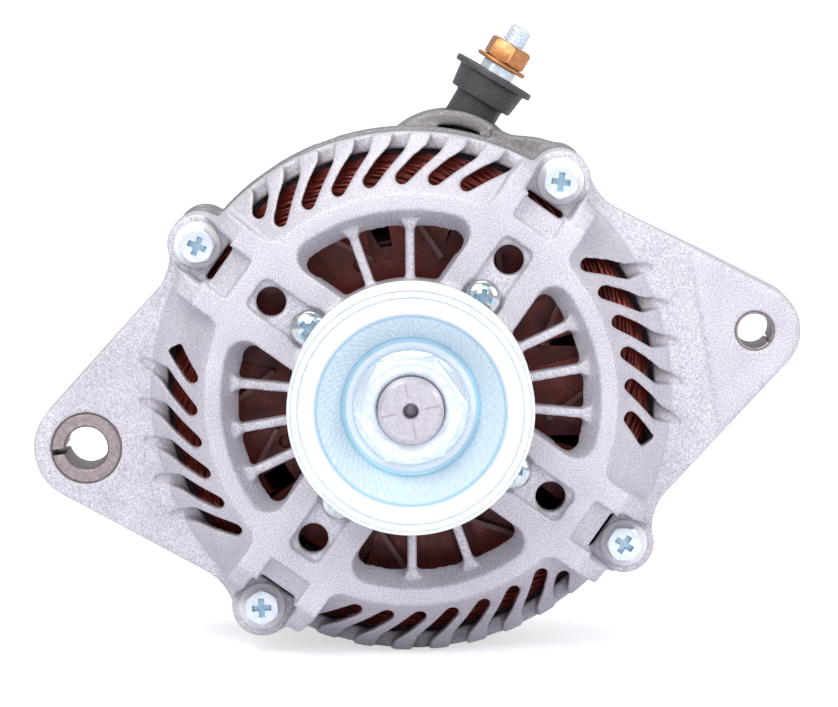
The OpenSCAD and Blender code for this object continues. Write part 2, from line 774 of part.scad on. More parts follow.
// One race of a ball bearing with its ball groove
module race(inner, outer, pitch_r, ball_r, start, width) {
    difference() {
        ring(outer, inner, start, start + width);
        translate([0, 0, start + width / 2]) rotate_extrude()
            translate([pitch_r, 0]) circle(r = ball_r + 0.15);
    }
}

module balls(pitch_r, ball_r, count, middle)
    for (k = [0 : count - 1]) at(pitch_r, k * 360 / count)
        translate([0, 0, middle]) sphere(r = ball_r, $fn = 24);

module cage(pitch_r, ball_r, count, middle) {
    half = ball_r + 0.9;
    difference() {
        ring(pitch_r + 1.2, pitch_r - 1.2, middle - half, middle + half);
        for (k = [0 : count - 1]) at(pitch_r - 3, k * 360 / count) translate([0, 0, middle])
            rotate([0, 90, 0]) cylinder(r = ball_r + 0.15, h = 6);
    }
}

module seals(inner, outer, start, width) {
    ring(outer, inner, start + 0.3, start + 1);
    ring(outer, inner, start + width - 1, start + width - 0.3);
}

front_pitch_r = (front_race[1] + front_race[2]) / 2;
rear_pitch_r = (rear_race[1] + rear_race[2]) / 2;

module front_bearing_outer_race() {
    color("silver") along_shaft() race(front_race[2], front_race[3], front_pitch_r,
        front_ball_d / 2, face_z, front_bearing_w);
}

module front_bearing_inner_race() {
    color("silver") along_shaft() race(front_race[0], front_race[1], front_pitch_r,
        front_ball_d / 2, face_z, front_bearing_w);
}

module front_bearing_balls() {
    color("gainsboro") along_shaft() balls(front_pitch_r, front_ball_d / 2, front_ball_count,
        face_z + front_bearing_w / 2);
}

module front_bearing_cage() {
    color("peru") along_shaft() cage(front_pitch_r, front_ball_d / 2, front_ball_count,
        face_z + front_bearing_w / 2);
}

module front_bearing_seals() {
    color("saddlebrown") along_shaft() seals(front_race[1] + slack, front_race[2], face_z, front_bearing_w);
}

module rear_bearing_outer_race() {
    color("silver") along_shaft() race(rear_race[2], rear_race[3], rear_pitch_r,
        rear_ball_d / 2, rear_bearing_front, rear_bearing_w);
}

module rear_bearing_inner_race() {
    color("silver") along_shaft() race(rear_race[0], rear_race[1], rear_pitch_r,
        rear_ball_d / 2, rear_bearing_front, rear_bearing_w);
}

module rear_bearing_balls() {
    color("gainsboro") along_shaft() balls(rear_pitch_r, rear_ball_d / 2, rear_ball_count,
        rear_bearing_front + rear_bearing_w / 2);
}

module rear_bearing_cage() {
    color("peru") along_shaft() cage(rear_pitch_r, rear_ball_d / 2, rear_ball_count,
        rear_bearing_front + rear_bearing_w / 2);
}

module rear_bearing_seals() {
    color("saddlebrown") along_shaft()
        seals(rear_race[1] + slack, rear_race[2], rear_bearing_front, rear_bearing_w);
}

// Stator: the bore follows the rotor, and the slots and the bars in them share one shape
bore_r = rotor_d / 2 + air_gap;
stator_slot_w = 3.6;
yoke_t = 4.9;
stator_slot_end = stator_r - yoke_t;
liner_t = 0.25;
crown_r = (bore_r + cavity_r) / 2 - 0.4;
crown_half = (cavity_r - bore_r) / 2 - 1.6;
crown_round = min(4, crown_half);

module stator_slots(inset, start, end)
    for (k = [0 : slot_count - 1]) turned((k + 0.5) * 360 / slot_count)
        block(bore_r + 1.5 + inset, stator_slot_end - inset,
            -stator_slot_w / 2 + inset, stator_slot_w / 2 - inset, start, end);

module stator_core() {
    color([0.35, 0.35, 0.37]) along_shaft() difference() {
        ring(stator_r, bore_r, stator_front, stator_back);
        stator_slots(0, stator_front - past, stator_back + past);
        // slot mouths
        for (k = [0 : slot_count - 1]) turned((k + 0.5) * 360 / slot_count)
            block(bore_r - past, bore_r + 2, -0.8, 0.8, stator_front - past, stator_back + past);
    }
}

module slot_liners() {
    color([0.9, 0.88, 0.78]) along_shaft() difference() {
        stator_slots(0, stator_front, stator_back);
        stator_slots(liner_t, stator_front - past, stator_back + past);
    }
}

module crown_profile(far, near) {
    hull() {
        for (side = [-1, 1]) translate([crown_r + side * (crown_half - crown_round), far])
            circle(r = crown_round, $fn = 32);
        translate([crown_r, near]) square([2 * crown_half, 0.02], center = true);
    }
}

module stator_windings() {
    color([0.5, 0.12, 0.05]) along_shaft() {
        rotate_extrude() crown_profile(stator_front - crown_l + crown_round, stator_front - 0.01);
        rotate_extrude() crown_profile(stator_back + crown_l - crown_round, stator_back + 0.01);
        stator_slots(liner_t, stator_front - 0.01, stator_back + 0.01);
    }
}

module stator_leads() {
    color([0.5, 0.12, 0.05]) along_shaft() for (angle = lead_deg) at(lead_r, angle)
        rod(0.9, stator_back + crown_l - 0.1, board_z);
}

module shaft() {
    color([0.75, 0.76, 0.78]) along_shaft() difference() {
        union() {
            rod(shaft_thread_d / 2, shaft_tip, nut_seat);
            rod(front_journal_d / 2, nut_seat, front_bearing_back);
            rod(front_race[1] - 1, front_bearing_back, rotor_front);
            rod(rotor_shaft_d / 2, rotor_front, ring_front - 1);
            rod(rear_journal_d / 2, ring_front - 1, shaft_end);
        }
        // centre drilling
        rod(2, shaft_tip - past, shaft_tip + 4);
        translate([0, 0, shaft_tip - 0.01]) cylinder(r1 = 2.6, r2 = 2, h = 0.6);
    }
}

// The belt grooves, as points down the pulley's rim from front to back
function groove_points() = [
    for (k = [0 : groove_count - 1]) let (middle = (k - (groove_count - 1) / 2) * groove_pitch)
        each [
            [pulley_d / 2, middle - groove_pitch / 2 + 0.35],
            [pulley_d / 2 - groove_depth, middle - 0.3],
            [pulley_d / 2 - groove_depth, middle + 0.3],
            [pulley_d / 2, middle + groove_pitch / 2 - 0.35]
        ]
];

module pulley() {
    edge = pulley_d / 2;
    color([0.85, 0.9, 0.94]) along_shaft() rotate_extrude($fn = 120) polygon(concat(
        [
            [front_journal_d / 2, nut_seat], [nut_seat_d / 2, nut_seat],
            [cone_d / 2, pulley_front + 1], [cone_d / 2 + 0.6, pulley_front + 0.4],
            [edge - 2.4, pulley_front + 0.4], [edge - 2, pulley_front],
            [edge - 0.7, pulley_front], [edge, pulley_front + 0.7]
        ],
        groove_points(),
        [
            [edge, pulley_back - 0.7], [edge - 0.7, pulley_back],
            [edge - groove_depth - 3, pulley_back], [edge - groove_depth - 3, pulley_back - 5],
            [front_race[1] + 4, pulley_back - 5], [front_race[1] + 2, pulley_back],
            [front_journal_d / 2, pulley_back]
        ]));
}

module pulley_spacer() {
    color("silver") along_shaft() ring(front_race[1] - 0.3, front_journal_d / 2, pulley_back, face_z);
}

module pulley_nut() {
    nut_top = nut_seat - nut_flange_t - nut_h;
    color([0.9, 0.93, 0.95]) along_shaft() turned(5) difference() {
        union() {
            rod(nut_flange_d / 2, nut_seat - nut_flange_t, nut_seat);
            intersection() {
                translate([0, 0, nut_top])
                    cylinder(d = nut_flats / cos(30), h = nut_h + 0.5, $fn = 6);
                translate([0, 0, nut_top])
                    cylinder(r1 = nut_flats / 2 - 0.6, r2 = nut_flats / 2 + 10, h = 10);
            }
        }
        rod(shaft_thread_d / 2, nut_top - past, nut_seat + past);
    }
}

// Claw poles: a disc with tapered claws that reach over the coil
claw_r = rotor_d / 2;
disc_r = claw_r - 10;
coil_space_r = claw_r - 8.2;
claw_root_w = 0.24 * rotor_d * 6 / claw_count;
claw_tip_w = 0.1 * rotor_d * 6 / claw_count;

module claw_pole(phase) {
    disc_back = rotor_front + pole_disc_t;
    tip = rotor_back - 1;
    rod(disc_r, rotor_front, disc_back);
    rod(disc_r - 14, rotor_front, rotor_middle);
    for (k = [0 : claw_count - 1]) turned(phase + k * 360 / claw_count) intersection() {
        revolved([
            [disc_r - 4, rotor_front], [claw_r - 2, rotor_front], [claw_r, rotor_front + 2],
            [claw_r, tip], [claw_r - 3.8, tip], [coil_space_r, disc_back],
            [disc_r - 4, disc_back]
        ]);
        rotate([0, 90, 0]) linear_extrude(claw_r + past) polygon([
            [-rotor_front + past, -claw_root_w / 2], [-disc_back, -claw_root_w / 2],
            [-tip - past, -claw_tip_w / 2], [-tip - past, claw_tip_w / 2],
            [-disc_back, claw_root_w / 2], [-rotor_front + past, claw_root_w / 2]
        ]);
    }
}

module front_claw_pole() {
    color([0.3, 0.1, 0.07]) along_shaft() difference() {
        claw_pole(0);
        rod(rotor_shaft_d / 2, rotor_front - past, rotor_back);
    }
}

module rear_claw_pole() {
    color([0.3, 0.1, 0.07]) along_shaft() difference() {
        translate([0, 0, 2 * rotor_middle]) mirror([0, 0, 1]) claw_pole(180 / claw_count);
        rod(rotor_shaft_d / 2, rotor_front, rotor_back + past);
    }
}

bobbin_front = rotor_front + pole_disc_t + 0.2;
bobbin_back = rotor_back - pole_disc_t - 0.2;

module coil_bobbin() {
    color([0.85, 0.82, 0.7]) along_shaft() {
        ring(disc_r - 12.2, disc_r - 14, bobbin_front, bobbin_back);
        ring(coil_space_r - 1, disc_r - 12.5, bobbin_front, bobbin_front + 1.2);
        ring(coil_space_r - 1, disc_r - 12.5, bobbin_back - 1.2, bobbin_back);
    }
}

module field_coil() {
    color([0.5, 0.12, 0.05]) along_shaft()
        ring(coil_space_r - 1.5, disc_r - 12.2, bobbin_front + 1.2, bobbin_back - 1.2);
}

// Stamped fans: a disc with uneven petals, each with one blade bent up on its swept edge
front_gap_deg = [16, 45, 73, 102, 128, 167, 191, 214, 252, 290, 320, 345];
rear_gap_deg = [0, 38, 72, 110, 145, 180, 221, 257, 290, 325];
blade_sweep = 48;
petal_root_r = rotor_d / 2 - 13;

module petals(gaps) {
    tip = rotor_d / 2 - 1.2;
    for (k = [0 : len(gaps) - 1]) {
        from = gaps[k] + 3.5;
        to = (k == len(gaps) - 1 ? gaps[0] + 360 : gaps[k + 1]) - 4;
        polygon(concat(
            arc(petal_root_r - 8, -(from + to) / 2, -(from + to) / 2, 1),
            arc(petal_root_r - 1, -from - 1, -from - 1, 1),
            arc(tip, -from, -to, 6),
            arc(petal_root_r - 1, -to + 1, -to + 1, 1)));
    }
}

module fan(gaps, plate_start, blade_start, blade_end) {
    difference() {
        union() {
            rod(petal_root_r, plate_start, plate_start + fan_t);
            translate([0, 0, plate_start]) linear_extrude(fan_t) petals(gaps);
            intersection() {
                for (angle = gaps) at(petal_root_r + 1.5, angle + 3.5) turned(blade_sweep)
                    block(0, 15, -fan_t, 0, blade_start, blade_end);
                rod(rotor_d / 2 - 0.8, blade_start, blade_end);
            }
        }
        rod(rotor_shaft_d / 2, blade_start - past, blade_end + past);
        rod(rotor_shaft_d / 2, plate_start - past, plate_start + fan_t + past);
        // weld dimples
        for (k = [0 : 3]) at(petal_root_r - 3, k * 90 + 12)
            rod(1.3, plate_start - past, plate_start + 0.5);
    }
}

module front_fan() {
    color([0.42, 0.16, 0.11]) along_shaft() difference() {
        fan(front_gap_deg, front_fan_face, front_fan_tip, front_fan_face + 0.1);
        rod(front_race[1] - 1, front_fan_tip - past, rotor_front);
    }
}

module rear_fan() {
    color([0.42, 0.16, 0.11]) along_shaft()
        fan(rear_gap_deg, rotor_back, rotor_back + fan_t - 0.1, rear_fan_back);
}

module slip_ring_sleeve() {
    color([0.2, 0.2, 0.2]) along_shaft()
        ring(slip_ring_d / 2 - 1.8, rear_journal_d / 2, ring_front, ring_back + 1);
}

module slip_rings() {
    color([0.72, 0.4, 0.2]) along_shaft() for (middle = [front_ring_z, rear_ring_z])
        ring(slip_ring_d / 2, slip_ring_d / 2 - 1.8, middle - slip_ring_w / 2, middle + slip_ring_w / 2);
}

module brush_holder() {
    half = brush_w / 2 + 2;
    color([0.15, 0.15, 0.15]) along_shaft() difference() {
        block(-half, half, slip_ring_d / 2 + 1, holder_end, holder_front, holder_back);
        for (middle = [front_ring_z, rear_ring_z])
            block(-brush_w / 2 - brush_gap, brush_w / 2 + brush_gap, 0, spring_foot,
                middle - brush_t / 2 - brush_gap, middle + brush_t / 2 + brush_gap);
    }
}

module brush(middle) {
    along_shaft() difference() {
        block(-brush_w / 2, brush_w / 2, 0, brush_bottom, middle - brush_t / 2, middle + brush_t / 2);
        rod(brush_top, middle - brush_t, middle + brush_t);
        block(-brush_w, brush_w, -past, brush_top * 0.9, middle - brush_t, middle + brush_t);
    }
}

module front_brush() {
    color([0.25, 0.23, 0.22]) brush(front_ring_z);
}

module rear_brush() {
    color([0.25, 0.23, 0.22]) brush(rear_ring_z);
}

// A coil spring below a brush: rings of points along a helix, joined by faces
spring_turns = 5;
spring_r = 1.25;
wire_r = 0.28;
ring_sides = 8;
ring_steps = 60;

function spring_ring(t, top, bottom) =
    let (angle = 360 * spring_turns * t, z = bottom + (top - bottom) * t)
    [for (s = [0 : ring_sides - 1]) let (a = 360 * s / ring_sides, r = spring_r + wire_r * cos(a))
        [r * cos(angle), r * sin(angle), z + wire_r * sin(a)]];

module brush_spring(middle) {
    bottom = -spring_foot + wire_r + 0.05;
    top = -brush_bottom - wire_r - 0.1;
    points = [for (i = [0 : ring_steps]) each spring_ring(i / ring_steps, top, bottom)];
    last = ring_steps * ring_sides;
    sides = [for (i = [0 : ring_steps - 1], s = [0 : ring_sides - 1])
        let (a = i * ring_sides + s, b = i * ring_sides + (s + 1) % ring_sides)
        each [[a, a + ring_sides, b + ring_sides], [a, b + ring_sides, b]]];
    translate([0, middle, 0]) polyhedron(points, concat(
        sides,
        [[for (s = [0 : ring_sides - 1]) s]],
        [[for (s = [ring_sides - 1 : -1 : 0]) last + s]]));
}

module front_brush_spring() {
    color("silver") brush_spring(front_ring_z);
}

module rear_brush_spring() {
    color("silver") brush_spring(rear_ring_z);
}

module regulator_body() {
    color([0.13, 0.13, 0.14]) along_shaft() difference() {
        block(-regulator_half, regulator_half, regulator_top, regulator_bottom,
            regulator_front, regulator_back);
        for (side = [-1, 1]) translate([side * regulator_screw_x, regulator_screw_y, 0])
            rod(2 + slack, regulator_front - past, regulator_back + past);
    }
}

module regulator_heat_sink() {
    half = regulator_screw_x - 4.5;
    fin_w = 1.2;
    fin_h = 1.6;
    color([0.7, 0.71, 0.72]) along_shaft() {
        block(-half, half, regulator_top + 1, regulator_bottom - 1,
            regulator_front - 1, regulator_front);
        for (k = [0 : 4]) translate([-half + k * (2 * half - fin_w) / 4, 0, 0])
            block(0, fin_w, regulator_top + 1, regulator_bottom - 1,
                regulator_front - 1 - fin_h, regulator_front - 0.9);
    }
}

module regulator_screws() {
    color("silver") along_shaft() for (side = [-1, 1])
        translate([side * regulator_screw_x, regulator_screw_y, 0]) {
            rod(2, regulator_front, regulator_back + 5);
            rod(3.6, regulator_front - 2.2, regulator_front);
        }
}

module connector_shell() {
    wall = 1.5;
    color([0.14, 0.14, 0.15]) along_shaft() difference() {
        block(-connector_w / 2, connector_w / 2, connector_y - connector_h / 2,
            connector_y + connector_h / 2, regulator_back, connector_mouth);
        block(-connector_w / 2 + wall, connector_w / 2 - wall, connector_y - connector_h / 2 + wall,
            connector_y + connector_h / 2 - wall, connector_floor, connector_mouth + past);
        connector_pins_from(connector_floor - 2);
    }
}

module connector_pins_from(start) {
    for (x = [-6, 0, 6])
        block(x - 1, x + 1, connector_y + 2.6, connector_y + 3.4, start, connector_mouth - 3);
}

module connector_pins() {
    color("gold") along_shaft() connector_pins_from(connector_floor - 2);
}

// Horseshoe plate of the rectifier, open at the bottom where the regulator sits
module horseshoe(outer, start, thickness) {
    difference() {
        ring(outer, sink_inner, start, start + thickness);
        translate([0, 0, start - past]) linear_extrude(thickness + 2 * past)
            polygon([[0, 0], [outer * 1.6, outer * 1.6 * tan(46)], [0, outer * 4],
                [-outer * 1.6, outer * 1.6 * tan(46)]]);
        for (angle = rectifier_screw_deg) at(rectifier_screw_r, angle)
            rod(2 + slack / 2, start - past, start + thickness + past);
    }
}

module diode_set(start, end) {
    for (angle = diode_deg) at(diode_r, angle) rod(diode_d / 2, start, end);
}

module positive_heat_sink() {
    color([0.75, 0.76, 0.77]) difference() {
        union() {
            along_shaft() difference() {
                horseshoe(sink_outer, positive_z, heat_sink_t);
                diode_set(positive_z - past, positive_z + heat_sink_t + past);
            }
            on_terminal() translate([-7, -4.6, lug_inner]) cube([14, 9.2, lug_t]);
        }
        on_terminal() {
            rod(stud_d / 2, lug_inner - past, lug_inner + lug_t + past);
            // room for the stud's head and for the insulator's foot
            rod(stud_d / 2 + 2.4, lug_inner - 4.4, lug_inner);
            rod(insulator_d / 2 + slack, lug_inner + lug_t, 0);
        }
    }
}

module negative_heat_sink() {
    color([0.72, 0.73, 0.74]) along_shaft() difference() {
        horseshoe(sink_outer, negative_z, heat_sink_t);
        diode_set(negative_z - past, negative_z + heat_sink_t + past);
    }
}

module positive_diodes() {
    color([0.6, 0.61, 0.63]) along_shaft() {
        diode_set(positive_z, positive_z + heat_sink_t + 0.6);
        for (angle = diode_deg) at(diode_r, angle) rod(0.7, positive_z + heat_sink_t, board_z);
    }
}

module negative_diodes() {
    color([0.6, 0.61, 0.63]) along_shaft() {
        diode_set(negative_z - 0.6, negative_z + heat_sink_t);
        for (angle = diode_deg) at(diode_r, angle) rod(0.7, board_z + board_t, negative_z);
    }
}

module terminal_board() {
    color([0.12, 0.12, 0.13]) along_shaft() {
        difference() {
            horseshoe(sink_outer - 0.5, board_z, board_t);
            // gap beside the output terminal
            turned(terminal_deg + 2) block(sink_outer - 11, sink_outer + 5, -10, 10,
                board_z - past, board_z + board_t + past);
        }
        for (angle = lead_deg) at(lead_r - 1.5, angle)
            rod(2.8, board_z, board_z + board_t);
    }
}

module rectifier_spacers() {
    color([0.9, 0.9, 0.86]) along_shaft() for (angle = rectifier_screw_deg)
        at(rectifier_screw_r, angle) {
            ring(3.6, 2 + slack / 2, positive_z + heat_sink_t, board_z);
            ring(3.6, 2 + slack / 2, board_z + board_t, negative_z);
        }
}

module rectifier_screws() {
    color("silver") along_shaft() for (angle = rectifier_screw_deg)
        at(rectifier_screw_r, angle) {
            rod(2, positive_z, rear_inside - past);
            rod(3.6, positive_z - 2.2, positive_z);
        }
}

module terminal_insulator() {
    color([0.22, 0.22, 0.24]) on_terminal() difference() {
        union() {
            rod(insulator_d / 2, lug_inner + lug_t, cup_start);
            translate([0, 0, cup_start])
                cylinder(r1 = cup_d / 2 - 0.6, r2 = cup_d / 2 + 0.4, h = lip_start - cup_start + 0.3);
            rod(cup_lip_d / 2, lip_start, cup_end);
        }
        rod(stud_core_r, lug_inner, cup_end + past);
        ring(cup_lip_d / 2 - 1.8, stud_d / 2 + 2.5, cup_end - 0.8, cup_end + past);
    }
}

module terminal_stud() {
    color([0.85, 0.86, 0.87]) on_terminal() {
        rod(stud_core_r, lug_inner - 4, nut_outer + 0.4);
        rod(stud_d / 2, nut_outer, stud_end);
        translate([0, 0, lug_inner - 4]) cylinder(d = stud_d + 4, h = 4, $fn = 6);
    }
}

module terminal_spacer() {
    color([0.85, 0.86, 0.87]) on_terminal() ring(stud_d / 2 + 1.5, stud_core_r, cup_end, washer_start);
}

module terminal_washer() {
    color([0.85, 0.7, 0.35]) on_terminal()
        ring(terminal_washer_r, stud_core_r, washer_start, washer_start + washer_t);
}

module terminal_nut() {
    color([0.8, 0.6, 0.3]) on_terminal() difference() {
        translate([0, 0, washer_start + washer_t])
            cylinder(d = terminal_nut_flats / cos(30), h = terminal_nut_h, $fn = 6);
        rod(stud_core_r, washer_start, stud_end);
    }
}

front_bracket();
rear_bracket();
through_bolts();
pivot_bush();
adjuster_sleeve();
bearing_retainer();
retainer_screws();
front_bearing_outer_race();
front_bearing_inner_race();
front_bearing_balls();
front_bearing_cage();
front_bearing_seals();
rear_bearing_outer_race();
rear_bearing_inner_race();
rear_bearing_balls();
rear_bearing_cage();
rear_bearing_seals();
stator_core();
slot_liners();
stator_windings();
stator_leads();
shaft();
pulley();
pulley_spacer();
pulley_nut();
front_claw_pole();
rear_claw_pole();
coil_bobbin();
field_coil();
front_fan();
rear_fan();
slip_ring_sleeve();
slip_rings();
brush_holder();
front_brush();
rear_brush();
front_brush_spring();
rear_brush_spring();
regulator_body();
regulator_heat_sink();
regulator_screws();
connector_shell();
connector_pins();
positive_heat_sink();
negative_heat_sink();
positive_diodes();
negative_diodes();
terminal_board();
rectifier_spacers();
rectifier_screws();
terminal_insulator();
terminal_stud();
terminal_spacer();
terminal_washer();
terminal_nut();
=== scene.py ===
# %% [markdown]
# A car alternator seen from its pulley side. The imported model is loaded as a fixed frame, and
# this lesson dresses it: castings get soft fillets and a blasted skin, turned and plated parts
# get crisp chamfers, and the copper winding is built wire by wire. We start with the frame and
# keep its box.

# %% Load the frame
import json
import math

import bpy
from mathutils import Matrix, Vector


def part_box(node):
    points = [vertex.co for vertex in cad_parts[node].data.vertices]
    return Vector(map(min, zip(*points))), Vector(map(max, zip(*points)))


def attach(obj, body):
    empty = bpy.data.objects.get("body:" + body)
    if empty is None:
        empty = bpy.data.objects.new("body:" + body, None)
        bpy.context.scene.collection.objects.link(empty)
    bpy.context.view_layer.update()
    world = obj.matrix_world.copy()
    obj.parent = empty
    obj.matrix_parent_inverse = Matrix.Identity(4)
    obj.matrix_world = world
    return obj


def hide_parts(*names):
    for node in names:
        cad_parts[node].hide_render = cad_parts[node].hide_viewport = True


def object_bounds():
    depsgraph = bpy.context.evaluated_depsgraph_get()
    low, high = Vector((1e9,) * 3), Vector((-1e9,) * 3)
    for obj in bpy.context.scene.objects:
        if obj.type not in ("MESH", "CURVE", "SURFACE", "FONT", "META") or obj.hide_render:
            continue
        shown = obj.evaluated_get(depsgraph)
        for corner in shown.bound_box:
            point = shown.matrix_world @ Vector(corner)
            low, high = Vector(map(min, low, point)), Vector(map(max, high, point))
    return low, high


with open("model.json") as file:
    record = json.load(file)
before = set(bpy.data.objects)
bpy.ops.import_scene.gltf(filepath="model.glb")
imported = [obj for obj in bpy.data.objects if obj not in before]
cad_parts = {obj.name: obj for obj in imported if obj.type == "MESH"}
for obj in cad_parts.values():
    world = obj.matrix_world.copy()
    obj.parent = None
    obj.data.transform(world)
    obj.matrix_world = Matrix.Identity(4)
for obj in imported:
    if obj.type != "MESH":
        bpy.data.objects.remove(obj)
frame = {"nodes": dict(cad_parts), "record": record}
cad_low, cad_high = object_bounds()
MM = 0.001
print("CAD box in mm:", [round(v * 1000, 1) for v in (*cad_low, *cad_high)])

# %% [markdown]
# The photograph was taken from about a metre and a half, a little above the shaft, with a long
# lens. A long lens keeps the pulley from swelling in front of the housing, so the focal length
# matters as much as the place of the camera.

# %% Camera
CAMERA_PLACE = (0.00196, -1.4619, 0.1259)
CAMERA_PITCH = math.radians(85.58)
CAMERA_LENS_MM = 262.9
bpy.ops.object.camera_add(location=CAMERA_PLACE, rotation=(CAMERA_PITCH, 0, 0))
camera = bpy.context.object
camera.name = "photo_camera"
camera.data.sensor_width = 36
camera.data.lens = CAMERA_LENS_MM
camera.data.clip_start = 0.05
camera.data.clip_end = 30
bpy.context.scene.camera = camera
print("camera looks from", [round(v, 3) for v in camera.location])

# %% [markdown]
# Colours are written as they look on a screen, from 0 to 1, and turned into the linear values
# that a shader works with. Every material then starts from one Principled shader.

# %% Colours and a first material
def screen_colour(red, green, blue):
    """Linear colour of a screen colour."""
    def linear(value):
        return value / 12.92 if value <= 0.04045 else ((value + 0.055) / 1.055) ** 2.4
    return (linear(red), linear(green), linear(blue), 1.0)


def new_material(name, colour, metallic=0.0, roughness=0.5):
    """A material with one Principled shader, set to plain values that links may take over."""
    material = bpy.data.materials.new(name + "_finish")
    material.use_nodes = True
    shader = material.node_tree.nodes["Principled BSDF"]
    shader.inputs["Base Color"].default_value = colour
    shader.inputs["Metallic"].default_value = metallic
    shader.inputs["Roughness"].default_value = roughness
    return material


def add_node(material, kind, **settings):
    """A node of that kind in the material, with its plain settings."""
    node = material.node_tree.nodes.new(kind)
    for key, value in settings.items():
        setattr(node, key, value)
    return node


def link(material, start, end):
    material.node_tree.links.new(start, end)


# %% [markdown]
# Several finishes share one effect: a grain that moves the colour a little, changes the gloss
# and lifts the surface. It is built once as a node group with named inputs, and each material
# gives it its own size and strength. The group reads Object coordinates, so the grain stays on
# the part when it turns.

# %% Node group: grain
def group_socket(group, name, kind, direction, value=None):
    socket = group.interface.new_socket(name=name, in_out=direction, socket_type=kind)
    if value is not None:
        socket.default_value = value
    return socket


def build_grain_group():
    group = bpy.data.node_groups.new("surface_grain", "ShaderNodeTree")
    group_socket(group, "Light", "NodeSocketColor", "INPUT", (1, 1, 1, 1))
    group_socket(group, "Dark", "NodeSocketColor", "INPUT", (0.5, 0.5, 0.5, 1))
    group_socket(group, "Grain size", "NodeSocketFloat", "INPUT", 900.0)
    group_socket(group, "Cloud size", "NodeSocketFloat", "INPUT", 60.0)
    group_socket(group, "Dull", "NodeSocketFloat", "INPUT", 0.6)
    group_socket(group, "Gloss", "NodeSocketFloat", "INPUT", 0.4)
    group_socket(group, "Color", "NodeSocketColor", "OUTPUT")
    group_socket(group, "Roughness", "NodeSocketFloat", "OUTPUT")
    group_socket(group, "Height", "NodeSocketFloat", "OUTPUT")
    nodes = group.nodes
    links = group.links
    entry = nodes.new("NodeGroupInput")
    leave = nodes.new("NodeGroupOutput")
    place = nodes.new("ShaderNodeTexCoord")
    fine = nodes.new("ShaderNodeTexNoise")
    fine.inputs["Detail"].default_value = 3.0
    fine.inputs["Roughness"].default_value = 0.7
    cloud = nodes.new("ShaderNodeTexNoise")
    cloud.inputs["Detail"].default_value = 2.0
    links.new(place.outputs["Object"], fine.inputs["Vector"])
    links.new(place.outputs["Object"], cloud.inputs["Vector"])
    links.new(entry.outputs["Grain size"], fine.inputs["Scale"])
    links.new(entry.outputs["Cloud size"], cloud.inputs["Scale"])
    spread = nodes.new("ShaderNodeMapRange")
    spread.inputs["From Min"].default_value = 0.32
    spread.inputs["From Max"].default_value = 0.68
    links.new(fine.outputs["Fac"], spread.inputs["Value"])
    both = nodes.new("ShaderNodeMath")
    both.operation = "MULTIPLY_ADD"
    both.inputs[1].default_value = 0.7
    links.new(spread.outputs["Result"], both.inputs[0])
    softer = nodes.new("ShaderNodeMath")
    softer.operation = "MULTIPLY"
    softer.inputs[1].default_value = 0.3
    links.new(cloud.outputs["Fac"], softer.inputs[0])
    links.new(softer.outputs["Value"], both.inputs[2])
    colour = nodes.new("ShaderNodeMix")
    colour.data_type = "RGBA"
    links.new(both.outputs["Value"], colour.inputs["Factor"])
    links.new(entry.outputs["Dark"], colour.inputs["A"])
    links.new(entry.outputs["Light"], colour.inputs["B"])
    rough = nodes.new("ShaderNodeMix")
    rough.data_type = "FLOAT"
    links.new(both.outputs["Value"], rough.inputs["Factor"])
    links.new(entry.outputs["Dull"], rough.inputs["A"])
    links.new(entry.outputs["Gloss"], rough.inputs["B"])
    links.new(colour.outputs["Result"], leave.inputs["Color"])
    links.new(rough.outputs["Result"], leave.inputs["Roughness"])
    links.new(both.outputs["Value"], leave.inputs["Height"])
    return group


GRAIN = build_grain_group()
print("grain group has", len(GRAIN.nodes), "nodes")


def give_grain(material, light, dark, grain_size, cloud_size, dull, gloss, bump, bump_mm=0.05):
    """Puts the grain group in a material, with a Bump node behind its height."""
    shader = material.node_tree.nodes["Principled BSDF"]
    grain = add_node(material, "ShaderNodeGroup", node_tree=GRAIN)
    grain.inputs["Light"].default_value = light
    grain.inputs["Dark"].default_value = dark
    grain.inputs["Grain size"].default_value = grain_size
    grain.inputs["Cloud size"].default_value = cloud_size
    grain.inputs["Dull"].default_value = dull
    grain.inputs["Gloss"].default_value = gloss
    lift = add_node(material, "ShaderNodeBump")
    lift.inputs["Strength"].default_value = bump
    lift.inputs["Distance"].default_value = bump_mm * MM
    link(material, grain.outputs["Color"], shader.inputs["Base Color"])
    link(material, grain.outputs["Roughness"], shader.inputs["Roughness"])
    link(material, grain.outputs["Height"], lift.inputs["Height"])
    link(material, lift.outputs["Normal"], shader.inputs["Normal"])
    return grain


# %% [markdown]
# Turned parts carry rings left by the tool. A wave texture in rings round the Y axis gives them.
# The group takes the centre of the part away first, so that the rings run round its own axis.

# %% Node group: turning rings
def build_rings_group():
    group = bpy.data.node_groups.new("turning_rings", "ShaderNodeTree")
    group_socket(group, "Centre", "NodeSocketVector", "INPUT", (0.0, 0.0, 0.0))
    group_socket(group, "Rings", "NodeSocketFloat", "INPUT", 900.0)
    group_socket(group, "Height", "NodeSocketFloat", "OUTPUT")
    nodes = group.nodes
    links = group.links
    entry = nodes.new("NodeGroupInput")
    leave = nodes.new("NodeGroupOutput")
    place = nodes.new("ShaderNodeTexCoord")
    shift = nodes.new("ShaderNodeVectorMath")
    shift.operation = "SUBTRACT"
    links.new(place.outputs["Object"], shift.inputs[0])
    links.new(entry.outputs["Centre"], shift.inputs[1])
    wave = nodes.new("ShaderNodeTexWave")
    wave.wave_type = "RINGS"
    wave.rings_direction = "Y"
    wave.inputs["Distortion"].default_value = 0.6
    wave.inputs["Detail"].default_value = 2.0
    links.new(shift.outputs["Vector"], wave.inputs["Vector"])
    links.new(entry.outputs["Rings"], wave.inputs["Scale"])
    links.new(wave.outputs["Fac"], leave.inputs["Height"])
    return group


